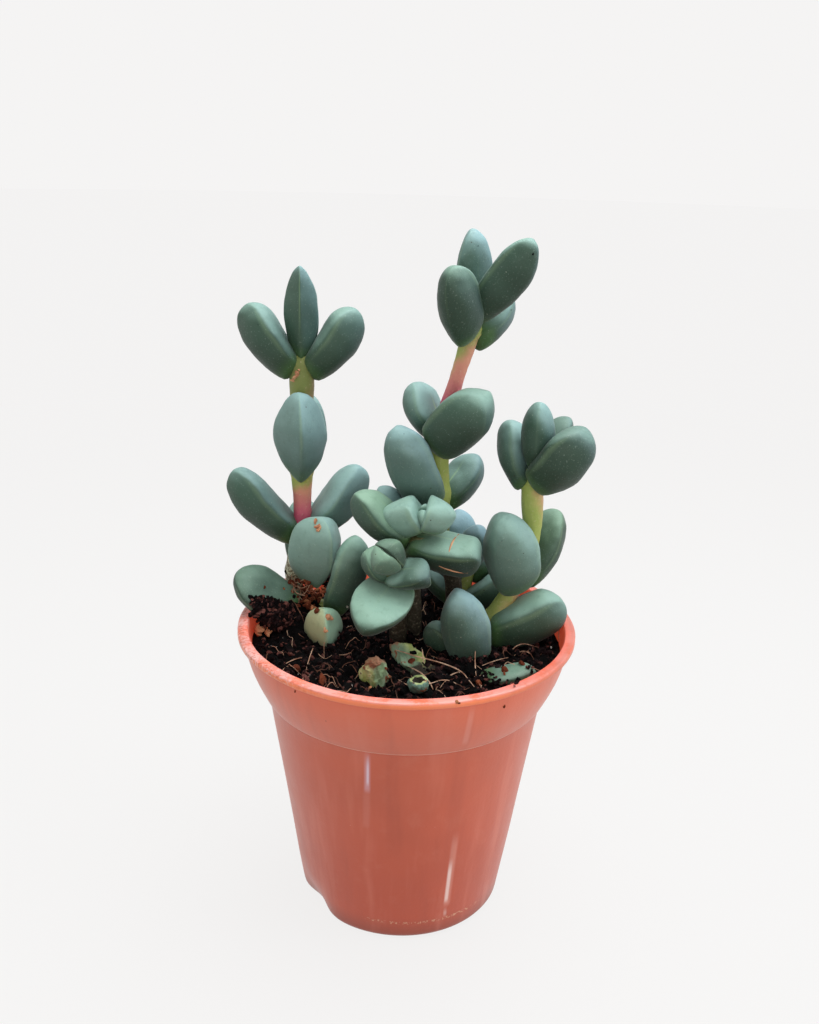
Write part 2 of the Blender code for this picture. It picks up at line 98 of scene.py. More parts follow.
def clearSelection():
    if bpy.context.mode != "OBJECT":
        bpy.ops.object.mode_set(mode="OBJECT")
    bpy.ops.object.select_all(action="DESELECT")


def selectOnly(piece):
    clearSelection()
    bpy.context.view_layer.objects.active = piece
    piece.select_set(True)


def editAll():
    # a new primitive in edit mode, selected all over
    bpy.ops.object.mode_set(mode="EDIT")
    bpy.ops.mesh.select_all(action="SELECT")


def faceOutwards():
    bpy.ops.mesh.select_all(action="SELECT")
    bpy.ops.mesh.normals_make_consistent(inside=False)


def closeShape():
    faceOutwards()
    clearSelection()


def pickDots(piece, test):
    # in edit mode: selects the vertices whose place passes the test
    cage = bmesh.from_edit_mesh(piece.data)
    for dot in cage.verts:
        dot.select_set(bool(test(dot.co)))
    cage.select_flush(True)
    cage.select_flush(False)
    bmesh.update_edit_mesh(piece.data)


def pickEdges(piece, test):
    # in edit mode: selects the edges whose two ends pass the test
    bpy.ops.mesh.select_mode(type="EDGE")
    cage = bmesh.from_edit_mesh(piece.data)
    for edge in cage.edges:
        edge.select_set(bool(test(edge.verts[0].co, edge.verts[1].co)))
    bmesh.update_edit_mesh(piece.data)


def liftRings(rings, foot=(0, 0, 0)):
    # in edit mode: draws the selected ring on through rows of radius and height
    for before, after in zip(rings, rings[1:]):
        rise = {"value": (0, 0, after[1] - before[1])}
        bpy.ops.mesh.extrude_region_move(TRANSFORM_OT_translate=rise)
        ratio = after[0] / before[0]
        centre = (foot[0], foot[1], foot[2] + after[1])
        bpy.ops.transform.resize(value=(ratio, ratio, 1), center_override=centre)


def applyAll(piece):
    selectOnly(piece)
    for modifier in list(piece.modifiers):
        bpy.ops.object.modifier_apply(modifier=modifier.name)


def roundOff(piece):
    rounding = piece.modifiers.new("rounding", "SUBSURF")
    rounding.levels = rounding.render_levels = 1
    applyAll(piece)


def settle(piece):
    # the place, turn and size of the object go into its mesh
    selectOnly(piece)
    bpy.ops.object.transform_apply(location=True, rotation=True, scale=True)


def joinAs(name, pieces):
    # the pieces become one, with one name for the object and its mesh
    clearSelection()
    for piece in pieces:
        piece.select_set(True)
    bpy.context.view_layer.objects.active = pieces[0]
    if len(pieces) > 1:
        bpy.ops.object.join()
    joined = bpy.context.view_layer.objects.active
    joined.name = name
    joined.data.name = name
    return joined


def smooth(piece, angle=None):
    selectOnly(piece)
    if angle is None:
        bpy.ops.object.shade_smooth()
    else:
        bpy.ops.object.shade_smooth_by_angle(angle=math.radians(angle))


def noiseVector(spot):
    # three plain readings far apart, because mathutils' own noise vector differs from run to run
    return [noise.noise(spot + apart) for apart in noiseShifts]


def unevenness(dots, scale, shift=Vector()):
    return np.array([noiseVector(Vector(dot) * scale + shift) for dot in dots])


def readDots(mesh):
    dots = np.empty(len(mesh.vertices) * 3)
    mesh.vertices.foreach_get("co", dots)
    return dots.reshape(-1, 3)


def writeDots(mesh, dots):
    mesh.vertices.foreach_set("co", np.asarray(dots, float).ravel())
    mesh.update()


def paintNumber(mesh, name, values):
    layer = mesh.attributes.new(name, "FLOAT", "POINT")
    layer.data.foreach_set("value", np.asarray(values, float).ravel())


def enlist(piece, node):
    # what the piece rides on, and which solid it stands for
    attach(piece, "root")
    if node:
        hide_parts(node)


def dress(piece, node, material):
    piece.data.materials.clear()
    piece.data.materials.append(material)
    enlist(piece, node)


# small helpers for materials


def tone(red, green, blue):
    # screen values from 0 to 255, as a socket wants them
    def linear(value):
        share = value / 255
        return share / 12.92 if share <= 0.04045 else ((share + 0.055) / 1.055) ** 2.4
    return (linear(red), linear(green), linear(blue), 1.0)


class Wire:
    # one socket of a shader. Arithmetic on it adds Math nodes

    def __init__(self, shader, socket):
        self.shader = shader
        self.socket = socket

    def sum(self, operation, first, second):
        return self.shader.add("ShaderNodeMath", {"operation": operation}, {0: first, 1: second})

    def __add__(self, other):
        return self.sum("ADD", self, other)

    def __radd__(self, other):
        return self.sum("ADD", other, self)

    def __sub__(self, other):
        return self.sum("SUBTRACT", self, other)

    def __rsub__(self, other):
        return self.sum("SUBTRACT", other, self)

    def __mul__(self, other):
        return self.sum("MULTIPLY", self, other)

    def __rmul__(self, other):
        return self.sum("MULTIPLY", other, self)

    def __truediv__(self, other):
        return self.sum("DIVIDE", self, other)

    def __pow__(self, other):
        return self.sum("POWER", self, other)

    def size(self):
        return self.shader.add("ShaderNodeMath", {"operation": "ABSOLUTE"}, {0: self})

    def other(self, name):
        return Wire(self.shader, self.socket.node.outputs[name])


class Shader:
    def __init__(self, name):
        self.material = bpy.data.materials.new(name)
        self.material.use_nodes = True
        self.tree = self.material.node_tree
        self.tree.nodes.clear()
        self.place = self.add("ShaderNodeTexCoord", out="Object")
        self.facing = self.add("ShaderNodeNewGeometry", out="Normal")

    def add(self, kind, settings=None, inputs=None, out=0):
        node = self.tree.nodes.new(kind)
        for name, value in (settings or {}).items():
            if name == "stops":
                ramp = node.color_ramp
                while len(ramp.elements) < len(value):
                    ramp.elements.new(0.5)
                for element, (at, colour) in zip(ramp.elements, value):
                    element.position = at
                    element.color = colour
            else:
                setattr(node, name, value)
        for name, value in (inputs or {}).items():
            if isinstance(value, Wire):
                self.tree.links.new(value.socket, node.inputs[name])
            else:
                node.inputs[name].default_value = value
        return Wire(self, node.outputs[out]) if len(node.outputs) else node

    def number(self, name):
        return self.add("ShaderNodeAttribute", {"attribute_name": name}, out="Fac")

    def parts(self, vector):
        # x, y and z of a vector
        x = self.add("ShaderNodeSeparateXYZ", inputs={0: vector})
        return x, x.other("Y"), x.other("Z")

    def rise(self, value, low, high):
        # from 0 at low to 1 at high, also where high is the smaller one
        inputs = {"Value": value, "From Min": low, "From Max": high}
        return self.add("ShaderNodeMapRange", {"interpolation_type": "SMOOTHSTEP"}, inputs)

    def grain(self, scale, detail=2.0, roughness=0.5, at=None):
        inputs = {"Vector": at or self.place, "Scale": scale}
        inputs.update({"Detail": detail, "Roughness": roughness})
        return self.add("ShaderNodeTexNoise", inputs=inputs)

    def cells(self, scale, kind="F1", out="Distance"):
        inputs = {"Vector": self.place, "Scale": scale}
        return self.add("ShaderNodeTexVoronoi", {"feature": kind}, inputs, out)

    def blend(self, share, first, second, kind="MIX"):
        settings = {"data_type": "RGBA", "blend_type": kind}
        return self.add("ShaderNodeMix", settings, {0: share, 6: first, 7: second}, out=2)

    def specks(self, scale, size, share):
        # round dots, one in some of the cells
        near = self.cells(scale)
        chosen = self.parts(near.other("Color"))[0]
        return self.rise(near, size, size * 0.55) * self.rise(chosen, 1 - share, 1.001 - share)

    def finish(self, colour, roughness, height=None, depth=0.0001, fixed=None):
        inputs = {"Base Color": colour, "Roughness": roughness}
        inputs.update(fixed or {})
        if height is not None:
            bumped = {"Height": height, "Distance": depth, "Strength": 1.0}
            inputs["Normal"] = self.add("ShaderNodeBump", inputs=bumped)
        surface = self.add("ShaderNodeBsdfPrincipled", inputs=inputs)
        self.add("ShaderNodeOutputMaterial", inputs={"Surface": surface})
        return self.material


# leaf skin: blue-green, with a pale bloom and painted light where it faces up, painted shade where
# it faces down and towards its foot, painted bluish light on faces turned right, yellower towards its
# foot


def makeLeafSkin():
    sh = Shader("leafSkin")
    share, side, face = sh.number("leafShare"), sh.number("leafSide"), sh.number("leafFace")
    pale, blue, line, old = [sh.number("leaf" + name) for name in ("Pale", "Blue", "Line", "Old")]
    soft = sh.grain(110, 3)
    mottle = sh.grain(700, 3, 0.6)
    fine = sh.grain(2600, 2, 0.6)
    x, y, up = sh.parts(sh.facing)
    patches = (soft - 0.5) * 0.6
    # painted light: lighter where the leaf faces up and a little to the right
    paintedLight = sh.rise(up + x * 0.12 + patches, -0.15, 0.95)
    # painted shade: darker where the leaf faces down, and darker still where the leaf's pale number is
    # below 0
    body = sh.blend(sh.rise(up + patches * 0.5, -0.9, 0.2), tone(32, 48, 34), tone(62, 90, 74))
    body = sh.blend(sh.rise(pale, 0.0, -0.4) * 0.8, body, tone(36, 58, 42))
    bloomAndLight = sh.blend(blue, tone(150, 186, 160), tone(140, 172, 180))
    colour = sh.blend(sh.rise(paintedLight * 0.74 + pale * (0.50 - paintedLight * 0.10), 0.0, 1.0), body, bloomAndLight)
    # painted bluish light on faces turned right and up
    paintedBluishLight = sh.rise(x + up * 0.5, 0.1, 1.0) * blue * 0.5
    colour = sh.blend(paintedBluishLight, colour, tone(128, 162, 178))
    # painted shade towards the foot of the leaf
    colour = sh.blend(sh.rise(share + patches * 0.5, 0.50, 0.05) * 0.62, colour, tone(34, 60, 32))
    foot = sh.rise(share + patches * 0.4, 0.24, 0.06)
    colour = sh.blend(foot * 0.4, colour, tone(84, 122, 56))
    aged = sh.rise(old + (soft - 0.5) * 0.5, 0.3, 0.8)
    colour = sh.blend(aged * 0.6, colour, tone(176, 170, 116))
    # thin light lines along the two margins, the keel and the middle of the flat face
    margin = sh.rise(side.size(), 0.965, 0.998) * sh.rise(share, 1.0, 0.9)
    keel = sh.rise(side.size(), 0.09, 0.0) * sh.rise(face, -0.2, -0.5) * sh.rise(share, 0.25, 0.6)
    rib = sh.rise(side.size(), 0.09, 0.0) * sh.rise(face, 0.3, 0.7) * sh.rise(share, 0.85, 0.2)
    lines = margin * 0.24 + keel * line * 0.34 + rib * line * 0.6
    colour = sh.blend(lines, colour, tone(172, 204, 150))
    # the fine dotted look of the skin, and a few brown specks
    colour = sh.blend(sh.rise(mottle, 0.48, 0.75) * 0.16, colour, tone(56, 82, 68))
    colour = sh.blend(sh.rise(fine, 0.60, 0.72) * 0.15, colour, tone(186, 206, 190))
    colour = sh.blend(sh.specks(420, 0.09, 0.08) * 0.75, colour, tone(60, 52, 40))
    colour = sh.blend(sh.specks(640, 0.10, 0.04) * 0.38, colour, tone(205, 214, 190))
    rubbed = sh.grain(240, 4, 0.6)
    roughness = 0.42 + rubbed * 0.2 + fine * 0.06
    height = fine * 0.35 + mottle * 0.65
    fixed = {"Specular IOR Level": 0.38, "Sheen Weight": 0.08, "Sheen Roughness": 0.45}
    return sh.finish(colour, roughness, height, 0.00012, fixed)


def makeStemSkin():
    # green that turns pink where the light reaches it, corky bark low down, and painted shade where the
    # stem is deep among the leaves
    sh = Shader("stemSkin")
    red, dry, deep = sh.number("stemRed"), sh.number("stemDry"), sh.number("stemDeep")
    x = sh.parts(sh.facing)[0]
    streaks = sh.grain(260, 3, 0.6)
    fine = sh.grain(1500, 3, 0.65)
    green = sh.blend(streaks, tone(150, 168, 78), tone(178, 184, 104))
    reddest = sh.rise(red + (streaks - 0.5) * 0.3, 0.55, 1.1)
    blush = sh.blend(reddest, tone(216, 148, 122), tone(200, 76, 112))
    turned = sh.rise(red + (streaks - 0.5) * 0.5 + x * 0.18, 0.16, 0.62)
    colour = sh.blend(turned, green, blush)
    bark = sh.blend(sh.rise(fine, 0.42, 0.62), tone(96, 84, 60), tone(196, 198, 168))
    colour = sh.blend(sh.rise(dry + (fine - 0.5) * 0.4, 0.35, 0.7), colour, bark)
    # painted shade where the stem lies deep among the leaves
    colour = sh.blend(deep, colour, tone(40, 34, 26))
    colour = sh.blend(sh.rise(fine, 0.58, 0.74) * 0.3, colour, tone(226, 206, 176))
    return sh.finish(colour, 0.46 + fine * 0.15, fine, 0.0002, {"Specular IOR Level": 0.4})


leafSkin = makeLeafSkin()
stemSkin = makeStemSkin()

# leaves. One leaf is modelled for each outline, in shares of its own length, width and thickness

leafShape = {
    "sides": 24,
    "rings": 13,
    "outlineStep": 0.04,  # outlines this close share one model
    "keel": 0.3,  # the keel's crease starts this far along and this far down
    "broadWave": 0.16,  # fineness of the slow unevenness, and of the quick one
    "fineWave": 0.5,
    "broadStrength": 4,
}

# start: how much of the outline the foot cuts off. flatEnd, thickest: how far along the flat face
# ends and the leaf is thickest. foot: thickness of the foot. sharp, crease: the keel. tip, margin:
# how far they lie below the flat face. heel: how far the back of the foot hangs down
plainLeaf = {
    "start": 0.06, "flatEnd": 0.66, "thickest": 0.60, "foot": 0.56,
    "sharp": 0.12, "crease": 0.0, "tip": 0.45, "margin": 0.22, "heel": 0.32,
}
leafKinds = {
    "round": plainLeaf,
    "broad": {**plainLeaf, "start": 0.16, "thickest": 0.58, "foot": 0.74, "sharp": 0.10},
    "keeled": {**plainLeaf, "sharp": 0.62, "crease": 0.9},
    "blunt": {
        **plainLeaf, "start": 0.10, "flatEnd": 0.86, "thickest": 0.72,
        "sharp": 0.40, "crease": 0.4, "tip": 0.40, "margin": 0.20,
    },
    "bulb": {
        **plainLeaf, "start": 0.20, "thickest": 0.50, "foot": 0.80,
        "sharp": 0.26, "tip": 0.16, "margin": 0.05, "heel": 0.10,
    },
    "dry": {
        **plainLeaf, "start": 0.12, "flatEnd": 0.60, "thickest": 0.50, "foot": 0.70,
        "sharp": 0.50, "crease": 0.9, "heel": 0.2,
    },
    "block": {
        **plainLeaf, "start": 0.20, "flatEnd": 0.80, "thickest": 0.66, "foot": 0.80,
        "sharp": 0.26, "tip": 0.30, "margin": 0.08, "heel": 0.10,
    },
}


def leafSection(share, pointed, kind):
    # full width, height of the flat face, and thickness at a share of the length
    start = kind["start"] + (1 - kind["start"]) * share
    width = max(0.0, 4 * start * (1 - start)) ** pointed
    drop = kind["tip"]
    flat = 0.0
    if share > kind["flatEnd"]:
        fall = (share - kind["flatEnd"]) / (1 - kind["flatEnd"])
        flat = -drop * (1 - math.sqrt(max(0.0, 1 - fall**2)))
    if share < kind["thickest"]:
        swell = math.sin(math.pi / 2 * share / kind["thickest"])
        low = -(kind["foot"] + (1 - kind["foot"]) * swell)
    else:
        fall = (share - kind["thickest"]) / (1 - kind["thickest"])
        low = -(drop + (1 - drop) * math.sqrt(max(0.0, 1 - fall**2)))
    return width, flat, flat - low


def onKeel(at):
    return abs(at.x) < 1e-4 and at.y < -leafShape["keel"] and at.z > leafShape["keel"]


def modelLeaf(pointed, kind):
    clearSelection()
    bpy.ops.mesh.primitive_circle_add(vertices=leafShape["sides"], radius=0.5)
    leaf = bpy.context.object
    leaf.name = "leafMaster"
    bpy.ops.object.mode_set(mode="EDIT")
    # the ring takes the leaf's section: nearly flat above, keeled below
    sharp = kind["sharp"]
    drop = kind["margin"]
    cage = bmesh.from_edit_mesh(leaf.data)
    for dot in cage.verts:
        across, lift = dot.co.x / 0.5, dot.co.y / 0.5
        if lift >= 0:
            dot.co.y = drop * (lift - 1)
        else:
            dot.co.y = -drop - (1 - drop) * (sharp * (1 - abs(across)) + (1 - sharp) * -lift)
    bmesh.update_edit_mesh(leaf.data)
    bpy.ops.mesh.select_all(action="SELECT")
    width, flat, thick = leafSection(0.0, pointed, kind)
    bpy.ops.transform.resize(value=(width, thick, 1), center_override=(0, 0, 0))
    before = 0.0
    for ring in range(1, leafShape["rings"] + 1):
        share = math.sin(math.pi / 2 * ring / leafShape["rings"])
        wide, level, deep = leafSection(share, pointed, kind)
        step = {"value": (0, level - flat, share - before)}
        bpy.ops.mesh.extrude_region_move(TRANSFORM_OT_translate=step)
        sizes = (max(wide, 1e-4) / width, max(deep, 1e-4) / thick, 1)
        bpy.ops.transform.resize(value=sizes, center_override=(0, level, share))
        width, flat, thick, before = max(wide, 1e-4), level, max(deep, 1e-4), share
    bpy.ops.mesh.merge(type="CENTER")
    pickDots(leaf, lambda at: at.z < 1e-5)
    bpy.ops.mesh.edge_face_add()
    faceOutwards()
    if kind["crease"]:
        pickEdges(leaf, lambda a, b: onKeel(a) and onKeel(b))
        bpy.ops.transform.edge_crease(value=kind["crease"])
    clearSelection()
    roundOff(leaf)
    smooth(leaf)
    dots = readDots(leaf.data)
    sections = np.array([leafSection(min(max(z, 0.0), 1.0), pointed, kind) for z in dots[:, 2]])
    side = np.clip(dots[:, 0] / np.maximum(sections[:, 0] / 2, 1e-3), -1, 1)
    fallen = (sections[:, 1] - dots[:, 1]) / np.maximum(sections[:, 2], 1e-3)
    face = np.where(fallen < drop, (drop - fallen) / drop, (drop - fallen) / (1 - drop))
    paintNumber(leaf.data, "leafShare", dots[:, 2])
    paintNumber(leaf.data, "leafSide", side)
    paintNumber(leaf.data, "leafFace", np.clip(face, -1, 1))
    return leaf


leafMasters = {}


def leafMaster(pointed, kind):
    outline = round(pointed / leafShape["outlineStep"]) * leafShape["outlineStep"]
    if (outline, kind) not in leafMasters:
        leafMasters[(outline, kind)] = modelLeaf(outline, leafKinds[kind])
    return leafMasters[(outline, kind)]


# pale bloom and painted light, which paints shade on the leaf where it is below 0, blueness of the bloom
# and of the painted light, light lines, and kind of leaf
leafLooks = {
    "deep": (-0.16, 0.35, 0.0, "round"),
    "dark": (-0.04, 0.5, 0.1, "round"),
    "grey": (0.86, 0.6, 0.5, "keeled"),
    "ridged": (-0.04, 0.6, 0.6, "keeled"),
    "ribbed": (-0.14, 0.6, 1.0, "round"),
    "glazed": (0.55, 0.5, 1.0, "round"),
    "misty": (0.36, 0.5, 0.1, "round"),
    "clear": (0.34, 0.2, 0.0, "round"),
    "fern": (-0.36, 0.0, 0.6, "round"),
    "silver": (0.60, 0.7, 0.1, "broad"),
    "dusty": (0.34, 0.7, 0.1, "broad"),
    "stout": (-0.06, 0.25, 0.1, "broad"),
    "boxy": (-0.08, 0.2, 0.5, "blunt"),
    "mint": (-0.14, 0.15, 0.2, "broad"),
    "bulb": (1.25, 0.3, 0.2, "block"),
    "ball": (0.62, 0.0, 0.2, "bulb"),
    "ballTop": (-0.75, 0.0, 0.2, "bulb"),
    "pearl": (1.6, 0.0, 0.3, "keeled"),
    "facet": (-0.75, 0.3, 0.9, "keeled"),
    "ashen": (1.10, 0.4, 0.6, "keeled"),
    "frosted": (0.76, 0.4, 0.1, "broad"),
    "shade": (-0.36, 0.2, 0.1, "round"),
    "shadiest": (-0.75, 0.3, 0.1, "round"),
    "mossy": (-0.05, 0.0, 0.6, "round"),
    "blue": (0.30, 1.0, 0.2, "round"),
    "sunken": (-0.6, 0.1, 0.0, "broad"),
    "withered": (0.0, 0.0, 0.0, "dry"),
}


def leafFrame(slope, azimuth, splay):
    # the directions along the leaf, across it and out of its flat face
    stem = Vector((slope[0], slope[1], 1.0)).normalized()
    angle = math.radians(azimuth)
    outward = Vector((math.cos(angle), math.sin(angle), 0.0))
    outward = (outward - stem * outward.dot(stem)).normalized()
    lean = math.radians(splay)
    along = math.cos(lean) * stem + math.sin(lean) * outward
    inner = math.sin(lean) * stem - math.cos(lean) * outward
    return along, inner.cross(along), inner


def setLeaf(name, place, slope, leaf, look, ruffle=0.10, keelShift=0.0, old=(0.0, 0.0), fade=0.0):
    # old: how aged the leaf is on its two sides. fade: how much painted shade darkens its foot
    azimuth, splay, length, width, thickness, pointed = leaf
    pale, blue, line, kind = leafLooks[look]
    copy = leafMaster(pointed, kind).copy()
    copy.data = copy.data.copy()
    copy.name = name
    bpy.context.scene.collection.objects.link(copy)
    dots = readDots(copy.data)
    along, across, inner = (np.array(axis) for axis in leafFrame(slope, azimuth, splay))
    share = dots[:, 2]
    heel = leafKinds[kind]["heel"] * thickness * (1 - share) ** 2
    heel = heel * np.clip(-dots[:, 1] / 0.56, 0, 1.6)
    lowness = np.clip((-dots[:, 1] - 0.25) / 0.7, 0, 1) * np.clip(share * 3, 0, 1)
    dots[:, 0] += keelShift * lowness * (1 - np.abs(2 * dots[:, 0]))
    spots = np.array(place, float) + np.outer(length * share - heel, along)
    spots += np.outer(width * dots[:, 0], across) + np.outer(thickness * dots[:, 1], inner)
    # no two leaves are quite the same: each gets its own slight unevenness
    shift = Vector(dice.uniform(-50, 50, 3))
    broad = unevenness(spots, leafShape["broadWave"], shift)
    fine = unevenness(spots, leafShape["fineWave"], shift)
    swell = np.clip(share * 2.5, 0, 1)[:, None]
    spots += broad * swell * ruffle * leafShape["broadStrength"] + fine * swell * ruffle
    writeDots(copy.data, spots * mm)
    many = len(dots)
    # painted shade on the lower part of the leaf, as much as fade asks
    low = fade * np.clip((0.62 - share) * 3, 0, 1)
    paintNumber(copy.data, "leafPale", pale - low)
    paintNumber(copy.data, "leafBlue", np.full(many, blue))
    paintNumber(copy.data, "leafLine", np.full(many, line))
    aged = old[1] + (old[0] - old[1]) * np.clip((keelShift + 0.06 - dots[:, 0]) * 5, 0, 1)
    paintNumber(copy.data, "leafOld", aged * np.clip(1 - low * 0.4, 0, 1))
    copy.data.materials.clear()
    copy.data.materials.append(leafSkin)
    return copy


# stems: a ring drawn up along the path, with a slight collar at each joint

stemShape = {
    "sides": 16, "step": 1.1,
    "collar": 0.16, "collarSpread": 1.3,
    "wave": 0.7, "roughness": 0.10,
}


def pathPoints(points, step):
    # a smooth path through the points, and the radius along it
    rows = np.array(points, float)
    rows = np.vstack([2 * rows[0] - rows[1], rows, 2 * rows[-1] - rows[-2]])
    path = []
    for i in range(1, len(rows) - 2):
        a, b, c, d = rows[i - 1 : i + 3]
        count = max(1, int(np.linalg.norm(c[:3] - b[:3]) / step))
        for t in np.arange(count) / count:
            bend = (2 * a - 5 * b + 4 * c - d) * t**2 + (3 * b - a - 3 * c + d) * t**3
            path.append(0.5 * (2 * b + (c - a) * t + bend))
    path.append(rows[-2])
    return np.array(path)


def modelStem(name, points, collars, tints):
    path = pathPoints(points, stemShape["step"])
    for row in path:
        for height in collars:
            near = (row[2] - height) / stemShape["collarSpread"]
            row[3] *= 1 + stemShape["collar"] * math.exp(-(near**2))
    clearSelection()
    foot, radius = path[0][:3], path[0][3]
    bpy.ops.mesh.primitive_circle_add(vertices=stemShape["sides"], radius=radius, location=foot)
    stem = bpy.context.object
    stem.name = name
    settle(stem)
    editAll()
    bpy.ops.mesh.edge_face_add()
    for before, after in zip(path, path[1:]):
        step = {"value": tuple(after[:3] - before[:3])}
        bpy.ops.mesh.extrude_region_move(TRANSFORM_OT_translate=step)
        ratio = after[3] / before[3]
        bpy.ops.transform.resize(value=(ratio, ratio, 1), center_override=tuple(after[:3]))
    closeShape()
    smooth(stem)
    dots = readDots(stem.data)
    rough = unevenness(dots, stemShape["wave"]) * stemShape["roughness"]
    heights = dots[:, 2]
    writeDots(stem.data, (dots + rough) * mm)
    tints = np.array(tints, float)
    for column, layer in ((1, "stemRed"), (2, "stemDry"), (3, "stemDeep")):
        paintNumber(stem.data, layer, np.interp(heights, tints[:, 0], tints[:, column]))
    stem.data.materials.append(stemSkin)
    return stem
